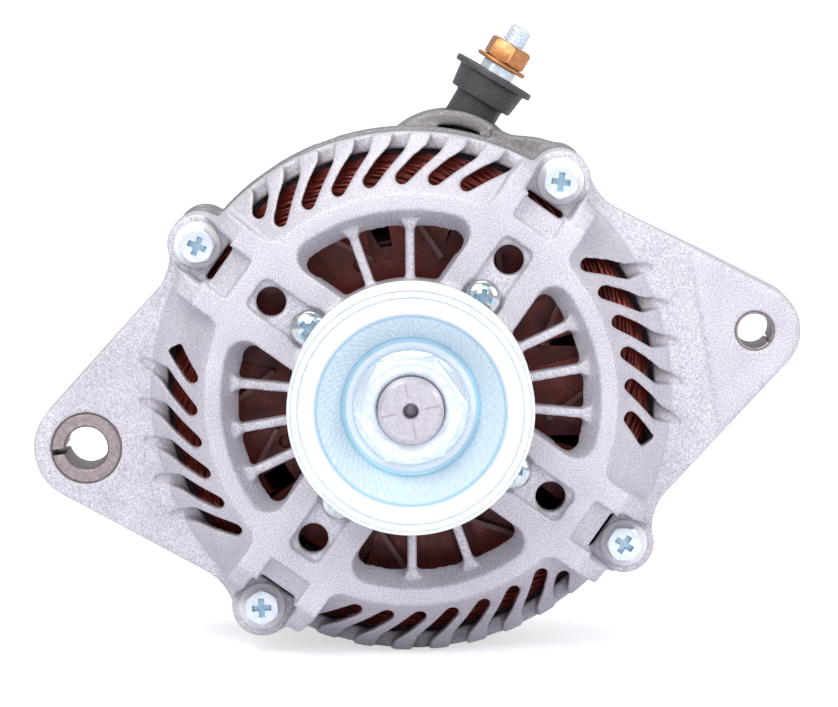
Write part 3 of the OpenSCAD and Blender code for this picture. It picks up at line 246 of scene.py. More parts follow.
RINGS = build_rings_group()
print("ring group has", len(RINGS.nodes), "nodes")


def give_rings(material, centre, rings, bump, bump_mm=0.03):
    """Turning rings round an axis that runs along the shaft through that centre."""
    shader = material.node_tree.nodes["Principled BSDF"]
    turned = add_node(material, "ShaderNodeGroup", node_tree=RINGS)
    turned.inputs["Centre"].default_value = centre
    turned.inputs["Rings"].default_value = rings
    lift = add_node(material, "ShaderNodeBump")
    lift.inputs["Strength"].default_value = bump
    lift.inputs["Distance"].default_value = bump_mm * MM
    link(material, turned.outputs["Height"], lift.inputs["Height"])
    old = shader.inputs["Normal"].links
    if old:
        link(material, old[0].from_socket, lift.inputs["Normal"])
    link(material, lift.outputs["Normal"], shader.inputs["Normal"])


# %% [markdown]
# The housing is die-cast aluminium, blasted with fine shot. Seen close, its skin is a field of
# tiny dents, half of them bright. So it is a rather rough metal with a strong fine grain, and
# the rear bracket is the same metal left darker, as it came from the die. In each finish the
# light and dark colours of the grain are followed by six numbers: the sizes of grain and cloud,
# the roughness of dark and of light grains, the bump's strength and its height in millimetres.

# %% Finishes of the castings
FINISHES = {}


def new_finish(slot, base, metallic, roughness, light, dark, *grain):
    """The material of one slot of the record, with its plain values and its grain."""
    material = new_material(slot, screen_colour(*base), metallic, roughness)
    give_grain(material, screen_colour(*light), screen_colour(*dark), *grain)
    FINISHES[slot] = material


new_finish("cast_face", (0.9, 0.88, 0.89), 0.35, 0.5,
           (0.98, 0.965, 0.99), (0.58, 0.56, 0.6), 2600, 90, 0.6, 0.34, 0.9, 0.12)
new_finish("cast_rear", (0.56, 0.55, 0.56), 0.5, 0.5,
           (0.66, 0.64, 0.65), (0.40, 0.39, 0.40), 1800, 70, 0.62, 0.42, 0.6, 0.08)
print("made", *FINISHES)

# %% [markdown]
# Bright zinc is the blue-white plating of the pulley, the nut and the screws. It is a smooth
# metal with a cold tint and a very faint haze.

# %% Plated, ground and turned steel
new_finish("zinc_steel", (0.93, 0.96, 0.98), 0.6, 0.24,
           (0.98, 0.985, 1.0), (0.84, 0.91, 0.95), 520, 130, 0.32, 0.18, 0.15, 0.02)
new_finish("ground_steel", (0.74, 0.73, 0.74), 0.9, 0.3,
           (0.7, 0.69, 0.69), (0.57, 0.56, 0.56), 700, 60, 0.4, 0.28, 0.15, 0.02)
new_finish("bush_steel", (0.62, 0.59, 0.56), 0.85, 0.35,
           (0.74, 0.69, 0.68), (0.52, 0.48, 0.48), 800, 60, 0.45, 0.3, 0.2, 0.02)
new_finish("bearing_steel", (0.8, 0.8, 0.82), 1.0, 0.12,
           (0.84, 0.84, 0.86), (0.7, 0.7, 0.72), 300, 60, 0.18, 0.1, 0.05, 0.01)
new_finish("cage_steel", (0.72, 0.52, 0.3), 0.9, 0.35,
           (0.76, 0.56, 0.34), (0.6, 0.42, 0.24), 500, 60, 0.4, 0.28, 0.1, 0.02)

# %% [markdown]
# The fan and the claw poles are dipped in a red-brown varnish, which pools and dries in uneven
# thickness: a dark, half-glossy coat whose colour drifts. The copper wire has a clear enamel
# over deep red metal, so it shines in thin streaks.

# %% Varnish, copper, iron and brass
new_finish("varnished_iron", (0.4, 0.11, 0.07), 0.1, 0.3,
           (0.5, 0.15, 0.1), (0.3, 0.07, 0.05), 240, 55, 0.45, 0.24, 0.3, 0.05)
new_finish("enamelled_copper", (0.46, 0.14, 0.1), 0.5, 0.16,
           (0.6, 0.25, 0.2), (0.3, 0.11, 0.09), 300, 120, 0.24, 0.1, 0.15, 0.03)
new_finish("lamination", (0.34, 0.34, 0.36), 0.7, 0.5,
           (0.4, 0.4, 0.42), (0.25, 0.25, 0.27), 900, 80, 0.6, 0.45, 0.4, 0.05)
new_finish("ring_copper", (0.74, 0.44, 0.26), 0.95, 0.25,
           (0.78, 0.48, 0.3), (0.62, 0.36, 0.2), 600, 60, 0.32, 0.2, 0.1, 0.02)
new_finish("yellow_brass", (0.82, 0.59, 0.38), 0.7, 0.34,
           (0.85, 0.61, 0.4), (0.68, 0.44, 0.26), 500, 150, 0.4, 0.24, 0.15, 0.02)
new_finish("pin_brass", (0.85, 0.7, 0.35), 0.95, 0.25,
           (0.88, 0.74, 0.4), (0.76, 0.6, 0.3), 500, 90, 0.3, 0.2, 0.1, 0.02)
new_finish("sink_aluminium", (0.76, 0.77, 0.78), 0.85, 0.35,
           (0.8, 0.81, 0.82), (0.66, 0.67, 0.68), 700, 60, 0.45, 0.3, 0.2, 0.03)

# %% [markdown]
# Plastics, rubber, carbon and paper aren't metals. Moulded plastic has a fine satin texture
# from its mould, rubber is duller, and each has a little drift in its colour.

# %% Plastics, rubber, carbon and paper
new_finish("insulator_plastic", (0.22, 0.22, 0.24), 0, 0.4,
           (0.33, 0.32, 0.33), (0.22, 0.21, 0.22), 900, 90, 0.5, 0.34, 0.25, 0.03)
new_finish("black_plastic", (0.13, 0.13, 0.14), 0, 0.4,
           (0.17, 0.17, 0.18), (0.1, 0.1, 0.11), 900, 90, 0.5, 0.36, 0.25, 0.03)
new_finish("bobbin_plastic", (0.84, 0.8, 0.68), 0, 0.45,
           (0.88, 0.84, 0.72), (0.76, 0.71, 0.58), 600, 60, 0.55, 0.4, 0.2, 0.03)
new_finish("seal_rubber", (0.2, 0.12, 0.08), 0, 0.6,
           (0.24, 0.15, 0.1), (0.15, 0.09, 0.06), 900, 80, 0.7, 0.5, 0.2, 0.03)
new_finish("brush_carbon", (0.22, 0.2, 0.2), 0.2, 0.55,
           (0.28, 0.25, 0.24), (0.15, 0.14, 0.14), 1500, 90, 0.6, 0.4, 0.3, 0.03)
new_finish("liner_paper", (0.88, 0.86, 0.76), 0, 0.8,
           (0.92, 0.9, 0.82), (0.8, 0.77, 0.66), 700, 60, 0.85, 0.7, 0.3, 0.03)
print(len(FINISHES), "finishes")

# %% [markdown]
# Each CAD node takes the finish of its slot in the record. The nodes that the next cells
# replace get it too, so that nothing is left plain.

# %% Dress the CAD nodes
slot_of = {part["node"]: part["material_slot"] for part in frame["record"]["subparts"]}
body_of = {node: body for body, nodes in frame["record"]["behaviour"]["bodies"].items()
           for node in nodes}
for node_name, node_object in frame["nodes"].items():
    node_object.data.materials.clear()
    node_object.data.materials.append(FINISHES[slot_of[node_name]])
print(len(slot_of), "CAD nodes dressed")

# %% [markdown]
# Working by hand means selecting, going into edit mode, and coming back. These small helpers
# do that in code. Faces, edges and vertices are chosen by a test on their place or normal.

# %% Helpers for modelling
def only(piece):
    """Deselects everything and makes the piece the active object."""
    bpy.ops.object.select_all(action="DESELECT")
    piece.hide_set(False)
    piece.select_set(True)
    bpy.context.view_layer.objects.active = piece


def choose(piece, kind, test):
    """Enters edit mode with just the elements that pass the test selected."""
    only(piece)
    bpy.ops.object.mode_set(mode="EDIT")
    bpy.ops.mesh.select_mode(type={"vertices": "VERT", "edges": "EDGE", "polygons": "FACE"}[kind])
    bpy.ops.mesh.select_all(action="DESELECT")
    bpy.ops.object.mode_set(mode="OBJECT")
    for element in getattr(piece.data, kind):
        element.select = bool(test(element))
    bpy.ops.object.mode_set(mode="EDIT")


def leave_edit():
    bpy.ops.object.mode_set(mode="OBJECT")


def apply_modifier(piece, kind, **settings):
    """Adds a modifier, sets it and applies it."""
    only(piece)
    modifier = piece.modifiers.new(kind.lower(), kind)
    for key, value in settings.items():
        setattr(modifier, key, value)
    bpy.ops.object.modifier_apply(modifier=modifier.name)


def place(piece, location=(0, 0, 0), rotation=(0, 0, 0)):
    """Moves and turns a piece, then puts that into its mesh, so its object stays at the origin."""
    only(piece)
    piece.location = location
    piece.rotation_euler = rotation
    bpy.ops.object.transform_apply(location=True, rotation=True, scale=True)


def copy_of(piece, name):
    """A second object with a mesh of its own."""
    only(piece)
    bpy.ops.object.duplicate()
    twin = bpy.context.object
    twin.name = name
    return twin


def join(pieces, name):
    """One object of several."""
    only(pieces[0])
    for piece in pieces[1:]:
        piece.select_set(True)
    bpy.ops.object.join()
    pieces[0].name = name
    return pieces[0]


def smooth(piece, degrees=35):
    """Smooth shading, with edges sharper than that angle left crisp."""
    only(piece)
    bpy.ops.object.shade_smooth_by_angle(angle=math.radians(degrees))


def finish_piece(piece, slot, body, *nodes, material=None):
    """Gives a piece the finish of its slot, or the material given, puts it on its body, and hides
    the CAD nodes it stands for.

    A piece that already has two materials keeps the second one."""
    if len(piece.data.materials) > 1:
        piece.data.materials[0] = material or FINISHES[slot]
    else:
        piece.data.materials.clear()
        piece.data.materials.append(material or FINISHES[slot])
    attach(piece, body)
    if nodes:
        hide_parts(*nodes)
    print(piece.name, "has", len(piece.data.polygons), "faces")


HOUSING_ROLL = math.radians(10)


def on_housing(radius_mm, angle_deg, y_mm):
    """A point of the housing, whose own right hand is rolled up with it, in metres."""
    angle = math.radians(angle_deg) + HOUSING_ROLL
    return Vector((radius_mm * math.cos(angle), y_mm, radius_mm * math.sin(angle))) * MM


# %% [markdown]
# A die casting has no sharp edge: every corner has a radius, so that the metal flows and the
# die lasts. The CAD solid has the right form with crisp edges. A copy of it is remeshed into
# small even cells and smoothed, which rounds all its corners by about a millimetre, far better
# than a bevel could on so many short edges. Then it is thinned again.

# %% Castings with soft edges
SAME_POINT = 0.000001


def cast_copy(node_name, name, cell_mm, passes, most_triangles):
    """A remeshed, smoothed and thinned copy of a CAD node."""
    piece = copy_of(frame["nodes"][node_name], name)
    piece.parent = None
    bpy.ops.mesh.customdata_custom_splitnormals_clear()
    choose(piece, "vertices", lambda vertex: True)
    bpy.ops.mesh.remove_doubles(threshold=2 * SAME_POINT)
    leave_edit()
    apply_modifier(piece, "REMESH", mode="VOXEL", voxel_size=cell_mm * MM, adaptivity=0.0)
    apply_modifier(piece, "SMOOTH", factor=0.5, iterations=passes)
    triangles = len(piece.data.polygons) * 2
    if triangles > most_triangles:
        apply_modifier(piece, "DECIMATE", ratio=most_triangles / triangles)
    only(piece)
    bpy.ops.object.shade_smooth()
    return piece


front_casting = cast_copy("front_bracket", "front_casting", 0.5, 8, 190000)
finish_piece(front_casting, "cast_face", "housing", "front_bracket")
rear_casting = cast_copy("rear_bracket", "rear_casting", 0.6, 4, 150000)
finish_piece(rear_casting, "cast_rear", "housing", "rear_bracket")

# %% [markdown]
# Turned parts are made as on a lathe: a profile of radius and station is drawn by extruding one
# vertex from point to point, and the spin tool turns it round the shaft.

# %% Helpers: drawn line and turned piece
def draw_line(name, points):
    """Extrudes one vertex from point to point, in millimetres, and stays in edit mode."""
    bpy.ops.object.select_all(action="DESELECT")
    bpy.ops.mesh.primitive_plane_add(size=0.0001)
    piece = bpy.context.object
    piece.name = name
    bpy.ops.object.mode_set(mode="EDIT")
    bpy.ops.mesh.select_mode(type="VERT")
    bpy.ops.mesh.select_all(action="SELECT")
    bpy.ops.mesh.merge(type="CENTER")
    here = Vector(points[0]) * MM
    bpy.ops.transform.translate(value=here)
    for point in points[1:]:
        there = Vector(point) * MM
        bpy.ops.mesh.extrude_region_move(TRANSFORM_OT_translate={"value": there - here})
        here = there
    return piece


def turned_piece(name, profile, steps=128):
    """Spins a closed profile of (radius, station) points in millimetres round the Y axis."""
    piece = draw_line(name, [(radius, station, 0) for radius, station in profile + profile[:1]])
    bpy.ops.mesh.select_all(action="SELECT")
    bpy.ops.mesh.remove_doubles(threshold=SAME_POINT)
    bpy.ops.mesh.select_all(action="SELECT")
    bpy.ops.mesh.spin(steps=steps, angle=math.tau, center=(0, 0, 0), axis=(0, 1, 0))
    bpy.ops.mesh.select_all(action="SELECT")
    bpy.ops.mesh.remove_doubles(threshold=SAME_POINT)
    bpy.ops.mesh.select_all(action="SELECT")
    bpy.ops.mesh.normals_make_consistent(inside=False)
    bpy.ops.object.mode_set(mode="OBJECT")
    return piece


# %% [markdown]
# The pulley is turned steel with a ribbed belt face. Looking into its bore one sees a wide flat
# lip, a bright step, and a knurled cone. The knurl is modelled: slanting rows of the cone's
# vertices are lifted toward the shaft, and a second set of lines cuts them into short teeth, so
# that they catch the light one by one.

# %% Pulley
pulley_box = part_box("pulley")
PULLEY_FRONT = pulley_box[0].y * 1000
PULLEY_R = pulley_box[1].x * 1000
RIBS = 6
RIB_PITCH = 3.56
print("pulley radius", round(PULLEY_R, 2), "front", round(PULLEY_FRONT, 2))


def belt_face():
    """Ribbed belt face from front to back."""
    points = []
    start = -RIBS * RIB_PITCH / 2
    for rib in range(RIBS + 1):
        middle = start + rib * RIB_PITCH
        points += [(PULLEY_R - 0.15, middle - 1.35), (PULLEY_R - 2.9, middle - 0.3),
                   (PULLEY_R - 2.9, middle + 0.3), (PULLEY_R - 0.15, middle + 1.35)]
    return points


SPOKES = 300
CONE_ROWS = 13
CONE_MOUTH_R = 22.6
CONE_NARROWING = 6.1
CONE_DEPTH = 12.2
KNURL_LIFT = 0.983
front = PULLEY_FRONT
cone_steps = [(CONE_MOUTH_R - CONE_NARROWING * row / CONE_ROWS,
               front + 1.6 + CONE_DEPTH * row / CONE_ROWS) for row in range(CONE_ROWS + 1)]
floor_of_bore = [(8.4, front + 14.0), (15.6, front + 14.0), (16.1, front + 13.9)]
lip = [(22.75, front + 1.3), (23.0, front + 0.95), (23.35, front + 0.62), (23.8, front + 0.45),
       (26.8, front + 0.42), (27.05, front + 0.85), (27.3, front + 0.3), (28.5, front + 0.25),
       (28.75, front + 0.6), (28.95, front + 0.1), (PULLEY_R - 0.35, front),
       (PULLEY_R - 0.1, front + 0.14), (PULLEY_R, front + 0.5)]
back_and_hub = [(PULLEY_R, 12.4), (PULLEY_R - 0.2, 12.85), (PULLEY_R - 0.6, 13.0), (23.8, 13.0),
                (23.4, 12.8), (23.4, 8.2), (14.6, 8.2), (14.2, 13.0), (8.4, 13.0)]
pulley_turned = turned_piece(
    "pulley_turned", floor_of_bore + cone_steps[::-1] + lip + belt_face() + back_and_hub, SPOKES)


def on_tooth(vertex):
    """Vertices of the cone that stand on a tooth of the knurl."""
    radius = math.hypot(vertex.co.x, vertex.co.z) / MM
    if not 16.8 < radius < 22.5 or vertex.co.y / MM > front + 13.85:
        return False
    spoke = round(math.atan2(vertex.co.z, vertex.co.x) / math.tau * SPOKES)
    row = round((CONE_MOUTH_R - radius) / CONE_NARROWING * CONE_ROWS)
    return (spoke + row) % 4 < 2 and (spoke - row) % 6 > 1


choose(pulley_turned, "vertices", on_tooth)
bpy.ops.transform.resize(value=(KNURL_LIFT, 1, KNURL_LIFT))
leave_edit()
smooth(pulley_turned, 18)

# %% [markdown]
# The plating looks almost white on the flat lip and pale blue in the cone, which is the plating's
# own tint, with darker blue bands at the cone's two ends that are painted shade in its corners.
# So the colour follows the distance from the shaft: a ramp holds these tints and the painted shade,
# and a narrow step hands over to the plain zinc of the lip.

# %% Finish of the pulley
pulley_zinc = new_material("pulley_zinc", screen_colour(0.96, 0.97, 0.98), 0.35, 0.3)
zinc_grain = give_grain(pulley_zinc, screen_colour(0.96, 0.97, 0.975),
                        screen_colour(0.86, 0.9, 0.92), 900, 90, 0.4, 0.26, 0.15, 0.02)
give_rings(pulley_zinc, (0, 0, 0), 700, 0.12, 0.02)
RAMP_START = 14
RAMP_SPAN = 10
cone_place = add_node(pulley_zinc, "ShaderNodeTexCoord")
cone_flat = add_node(pulley_zinc, "ShaderNodeVectorMath", operation="MULTIPLY")
cone_flat.inputs[1].default_value = (1, 0, 1)
cone_radius = add_node(pulley_zinc, "ShaderNodeVectorMath", operation="LENGTH")
# Mask of the cone inside the lip, where the ramp of tint and painted shade is used.
cone_tint_and_shade_mask = add_node(pulley_zinc, "ShaderNodeMapRange")
cone_tint_and_shade_mask.inputs["From Min"].default_value = CONE_MOUTH_R * MM
cone_tint_and_shade_mask.inputs["From Max"].default_value = (CONE_MOUTH_R + 0.5) * MM
cone_tint_and_shade_mask.inputs["To Min"].default_value = 1.0
cone_tint_and_shade_mask.inputs["To Max"].default_value = 0.0
cone_mix = add_node(pulley_zinc, "ShaderNodeMix", data_type="RGBA")
cone_span = add_node(pulley_zinc, "ShaderNodeMapRange")
cone_span.inputs["From Min"].default_value = RAMP_START * MM
cone_span.inputs["From Max"].default_value = (RAMP_START + RAMP_SPAN) * MM
cone_tint_and_painted_shade = add_node(pulley_zinc, "ShaderNodeValToRGB")
# The darker blue stops at 15.9, 16.6 and 22.6 mm are painted shade in the corners at the cone's
# ends; the others are the plating's own tints.
cone_tint_and_shade_stops = [(15.3, (0.94, 0.97, 0.99)), (15.9, (0.68, 0.84, 0.91)), (16.6, (0.72, 0.87, 0.93)),
         (17.2, (0.91, 0.955, 0.975)), (22.0, (0.9, 0.95, 0.97)), (22.6, (0.66, 0.83, 0.9))]
for number, (radius, colour) in enumerate(cone_tint_and_shade_stops):
    position = (radius - RAMP_START) / RAMP_SPAN
    if number < 2:
        stop = cone_tint_and_painted_shade.color_ramp.elements[number]
        stop.position = position
    else:
        stop = cone_tint_and_painted_shade.color_ramp.elements.new(position)
    stop.color = screen_colour(*colour)
cone_shader = pulley_zinc.node_tree.nodes["Principled BSDF"]
link(pulley_zinc, cone_place.outputs["Object"], cone_flat.inputs[0])
link(pulley_zinc, cone_flat.outputs["Vector"], cone_radius.inputs[0])
link(pulley_zinc, cone_radius.outputs["Value"], cone_tint_and_shade_mask.inputs["Value"])
link(pulley_zinc, cone_tint_and_shade_mask.outputs["Result"], cone_mix.inputs["Factor"])
link(pulley_zinc, cone_radius.outputs["Value"], cone_span.inputs["Value"])
link(pulley_zinc, cone_span.outputs["Result"], cone_tint_and_painted_shade.inputs["Fac"])
link(pulley_zinc, cone_tint_and_painted_shade.outputs["Color"], cone_mix.inputs["B"])
link(pulley_zinc, zinc_grain.outputs["Color"], cone_mix.inputs["A"])
link(pulley_zinc, cone_mix.outputs["Result"], cone_shader.inputs["Base Color"])
finish_piece(pulley_turned, "zinc_steel", "rotor", "pulley", material=pulley_zinc)

# %% [markdown]
# Small fasteners and rings are turned pieces joined or cut with a few plain shapes. A hexagon is
# a six-sided cylinder, cut by a turned ring whose slope leaves the round chamfer that every
# nut gets from its lathe. A cross recess is two tapered bars taken out of the head.

# %% Helpers: cutting, hexagon, cross recess
def cut(piece, tool, operation="DIFFERENCE"):
    """Boolean with another piece, which is used up."""
    apply_modifier(piece, "BOOLEAN", object=tool, operation=operation, solver="EXACT")
    bpy.data.objects.remove(tool)


def block(size_mm, centre_mm):
    """A plain box along the axes, to cut with."""
    bpy.ops.object.select_all(action="DESELECT")
    bpy.ops.mesh.primitive_cube_add(size=1)
    piece = bpy.context.object
    piece.scale = [value * MM for value in size_mm]
    piece.location = [value * MM for value in centre_mm]
    bpy.ops.object.transform_apply(location=True, rotation=True, scale=True)
    return piece


def soften(piece, width_mm, degrees):
    """A small bevel on the edges sharper than that angle."""
    apply_modifier(piece, "BEVEL", width=width_mm * MM, segments=2, limit_method="ANGLE",
                   angle_limit=math.radians(degrees), harden_normals=False)


COUNTERSINK = 0.5
RECESS_DEPTH = 2.2
RECESS_TAPER = (0.7, 1, 0.75)
LIP_OF_HEAD = 0.25
HAIR = 0.01


def hexagon(name, flats_mm, front_mm, back_mm, chamfer_r, bore_r=0.0):
    """Hexagonal piece along Y, with a round chamfer on its front and maybe a sunk bore."""
    corner_r = flats_mm / 2 / math.cos(math.pi / 6)
    bpy.ops.object.select_all(action="DESELECT")
    bpy.ops.mesh.primitive_cylinder_add(vertices=6, radius=corner_r * MM,
                                        depth=(back_mm - front_mm) * MM)
    piece = bpy.context.object
    piece.name = name
    place(piece, (0, (front_mm + back_mm) / 2 * MM, 0), (math.pi / 2, 0, 0))
    outside = corner_r + 1
    slope = (outside - chamfer_r) * 0.5
    profile = [(chamfer_r, front_mm), (outside, front_mm + slope), (outside, back_mm + 1)]
    if bore_r:
        profile += [(bore_r, back_mm + 1), (bore_r, front_mm + COUNTERSINK),
                    (bore_r + COUNTERSINK, front_mm)]
    else:
        profile += [(0, back_mm + 1), (0, front_mm)]
    cut(piece, turned_piece(name + "_chamfer", profile, 96), "INTERSECT")
    return piece


def cross_recess(piece, front_mm, length_mm, bar_mm, painted_recess_shade):
    """Takes a cross out of a head, narrower at its bottom, and gives its faces a darker material:
    painted shade.
    """
    for turn in (0, math.pi / 2):
        bar = block((length_mm, 2 * RECESS_DEPTH, bar_mm), (0, front_mm, 0))
        choose(bar, "vertices", lambda vertex: vertex.co.y > front_mm * MM)
        bpy.ops.transform.resize(value=RECESS_TAPER)
        leave_edit()
        place(bar, rotation=(0, turn, 0))
        cut(piece, bar)
    piece.data.materials.clear()
    piece.data.materials.append(FINISHES["zinc_steel"])
    piece.data.materials.append(painted_recess_shade)
    for face in piece.data.polygons:
        middle = face.center / MM
        along = max(abs(middle.x), abs(middle.z)) < length_mm / 2
        across = min(abs(middle.x), abs(middle.z)) <= bar_mm / 2 + HAIR
        deep = front_mm + LIP_OF_HEAD < middle.y < front_mm + RECESS_DEPTH + HAIR
        if along and across and deep:
            face.material_index = 1


# %% [markdown]
# The shaft ends in an M16 thread, with the nut's last turns standing free in a dark ring. Its
# face was turned flat, then drilled for the lathe's centre, and four light strokes of a chisel
# mark it. The nut has a flange, a wide chamfer and a countersunk thread.

# %% Shaft and pulley nut
shaft_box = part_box("shaft")
TIP = shaft_box[0].y * 1000
SHAFT_BACK = shaft_box[1].y * 1000
nut_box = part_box("pulley_nut")
NUT_TOP = nut_box[0].y * 1000
NUT_SEAT = nut_box[1].y * 1000
THREAD_PITCH = 1.5
thread = [(0, TIP + 9.0), (1.8, TIP + 8.0), (1.8, TIP + 0.35), (2.1, TIP), (6.9, TIP),
          (7.05, TIP + 0.1), (7.9, TIP + 0.8)]
for turn in range(int((NUT_SEAT - TIP - THREAD_PITCH) / THREAD_PITCH)):
    station = TIP + 1.1 + turn * THREAD_PITCH
    thread += [(7.9, station), (7.25, station + 0.6), (7.25, station + 0.8), (7.9, station + 1.4)]
shaft_profile = thread + [
    (7.6, NUT_SEAT - 0.1), (8.5, NUT_SEAT), (8.5, 34.0), (10.8, 34.1), (10.8, 48.4), (9.5, 48.5),
    (9.5, 94.0), (7.5, 94.3), (7.5, SHAFT_BACK - 0.6), (7.0, SHAFT_BACK), (0, SHAFT_BACK),
]
shaft_turned = turned_piece("shaft_turned", shaft_profile, 96)
for angle in (101, 191, 281, 11):
    mark = block((3.4, 0.7, 0.35), (5.2, TIP, 0))
    place(mark, rotation=(0, -math.radians(angle), 0))
    cut(shaft_turned, mark)
smooth(shaft_turned, 25)
shaft_face = new_material("shaft_face", screen_colour(0.8, 0.78, 0.81), 0.6, 0.4)
give_grain(shaft_face, screen_colour(0.84, 0.82, 0.85), screen_colour(0.72, 0.7, 0.73),
           900, 90, 0.46, 0.34, 0.15, 0.02)
finish_piece(shaft_turned, "ground_steel", "rotor", "shaft", material=shaft_face)

NUT_FLATS = 24
NUT_TURN = math.radians(-35)
nut_turned = hexagon("nut_turned", NUT_FLATS, NUT_TOP, NUT_SEAT - 1.2, 11.4, 8.0)
nut_flange = turned_piece("nut_flange", [
    (8.0, NUT_SEAT), (13.7, NUT_SEAT), (14.0, NUT_SEAT - 0.3), (14.0, NUT_SEAT - 1.5),
    (13.6, NUT_SEAT - 1.95), (12.6, NUT_SEAT - 2.2), (8.0, NUT_SEAT - 2.2)], 128)
soften(nut_turned, 0.18, 24)
nut_turned = join([nut_turned, nut_flange], "nut_turned")
place(nut_turned, rotation=(0, NUT_TURN, 0))
smooth(nut_turned, 28)
finish_piece(nut_turned, "zinc_steel", "rotor", "pulley_nut")

# %% [markdown]
# Four M5 flange bolts draw the two brackets together over the stator. Each head is a hexagon
# with a domed, chamfered top, a cross recess and a washer-like flange. They were driven home one
# by one, so each head stopped at its own angle. One pattern is made, and all four are its twins.
# The crosses get a darker, bluer finish of their own: painted shade in the recesses.

# %% Through bolts
# Painted shade: a darker, bluer zinc for the faces inside the cross recesses.
recess_painted_shade = new_material("recess_painted_shade", screen_colour(0.74, 0.86, 0.92), 0.6, 0.3)
give_grain(recess_painted_shade, screen_colour(0.8, 0.9, 0.95), screen_colour(0.6, 0.74, 0.82),
           520, 130, 0.36, 0.22, 0.15, 0.02)
bolt_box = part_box("through_bolts")
HEAD_TOP = bolt_box[0].y * 1000
BOLT_END = bolt_box[1].y * 1000
BOLT_SEAT = HEAD_TOP + 5
BOLT_FLATS = 8
BOLT_CIRCLE_R = 64.0
bolt_pattern = hexagon("bolt_1", BOLT_FLATS, HEAD_TOP + 0.1, BOLT_SEAT - 0.6, 3.9)
soften(bolt_pattern, 0.14, 24)
cross_recess(bolt_pattern, HEAD_TOP, 5.6, 1.7, recess_painted_shade)
bolt_flange = turned_piece("bolt_flange", [
    (0, BOLT_SEAT), (5.6, BOLT_SEAT), (5.75, BOLT_SEAT - 0.2), (5.7, BOLT_SEAT - 0.75),
    (5.3, BOLT_SEAT - 1.05), (4.4, BOLT_SEAT - 1.3), (0, BOLT_SEAT - 1.4)], 64)
bolt_shank = turned_piece("bolt_shank", [(0, BOLT_SEAT - 0.5), (2.5, BOLT_SEAT - 0.5),
                                         (2.5, BOLT_END), (0, BOLT_END)], 48)
bolt_pattern = join([bolt_pattern, bolt_flange, bolt_shank], "bolt_1")
smooth(bolt_pattern, 32)
bolts = []
for number, (angle, head_turn) in enumerate([(45, 8), (135, 22), (225, -4), (315, 33)]):
    bolt = copy_of(bolt_pattern, "bolt_%d" % (number + 2))
    place(bolt, on_housing(BOLT_CIRCLE_R, angle, 0), (0, math.radians(head_turn), 0))
    bolts.append(bolt)
bpy.data.objects.remove(bolt_pattern)
bolts_made = join(bolts, "through_bolts_made")
finish_piece(bolts_made, "zinc_steel", "housing", "through_bolts")

# %% [markdown]
# The bearing is held from behind by a plate, whose four screws sit in the corners of the face.
# They are bright pan heads, polished like mirrors, and show the dark room in their domes.

# %% Retainer screws
screw_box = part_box("retainer_screws")
PAN_TOP = screw_box[0].y * 1000
SCREW_END = screw_box[1].y * 1000
SCREW_SEAT = 21.8
SCREW_CIRCLE_R = 30.3
PAN_R = 4.6
tall = SCREW_SEAT - PAN_TOP
pan = [(0, PAN_TOP)]
for degrees in range(12, 91, 13):
    rise = math.radians(degrees)
    pan.append((PAN_R * math.sin(rise) ** 0.8,
                SCREW_SEAT - tall * 0.3 - tall * 0.7 * math.cos(rise) ** 0.9))
pan += [(PAN_R, SCREW_SEAT - 0.1), (PAN_R - 0.1, SCREW_SEAT), (2.0, SCREW_SEAT),
        (2.0, SCREW_END), (0, SCREW_END)]
screw_pattern = turned_piece("screw_1", pan, 64)
cross_recess(screw_pattern, PAN_TOP - 0.1, 5.6, 1.5, recess_painted_shade)
smooth(screw_pattern, 40)
screws = []
for number, (angle, head_turn) in enumerate([(45, 15), (135, 40), (225, 70), (315, 5)]):
    screw = copy_of(screw_pattern, "screw_%d" % (number + 2))
    place(screw, on_housing(SCREW_CIRCLE_R, angle, 0), (0, math.radians(head_turn), 0))
    screws.append(screw)
bpy.data.objects.remove(screw_pattern)
screws_made = join(screws, "retainer_screws_made")
mirror_zinc = new_material("mirror_zinc", screen_colour(0.86, 0.89, 0.89), 1.0, 0.12)
give_grain(mirror_zinc, screen_colour(0.92, 0.94, 0.94), screen_colour(0.68, 0.71, 0.72),
           500, 300, 0.24, 0.08, 0.35, 0.05)
finish_piece(screws_made, "zinc_steel", "housing", "retainer_screws", material=mirror_zinc)

# %% [markdown]
# Rolled steel linings carry the load of the mounting bolts. The left one is a heavy split bush,
# which slides in the casting until the engine bracket clamps it. The right one is a thin spring
# sleeve. Both were rolled from strip, so each has a slit and a rounded edge.

# %% Bush and sleeve
PIVOT_R = 81.6
PIVOT_BORE_R = 5.25
ADJUSTER_R = 86.2


def split_ring(name, outer, inner, start, end, slit, slit_deg, edge):
    """A rolled ring along Y with a slit, its edges rounded."""
    piece = turned_piece(name, [(inner, start + edge), (inner + edge, start), (outer - edge, start),
                                (outer, start + edge), (outer, end - edge), (outer - edge, end),
                                (inner + edge, end), (inner, end - edge)], 96)
    gap = block((outer * 2, (end - start) * 2, slit), (outer, (start + end) / 2, 0))
    place(gap, rotation=(0, -math.radians(slit_deg), 0))
    cut(piece, gap)
    soften(piece, 0.15, 40)
    smooth(piece, 40)
    return piece


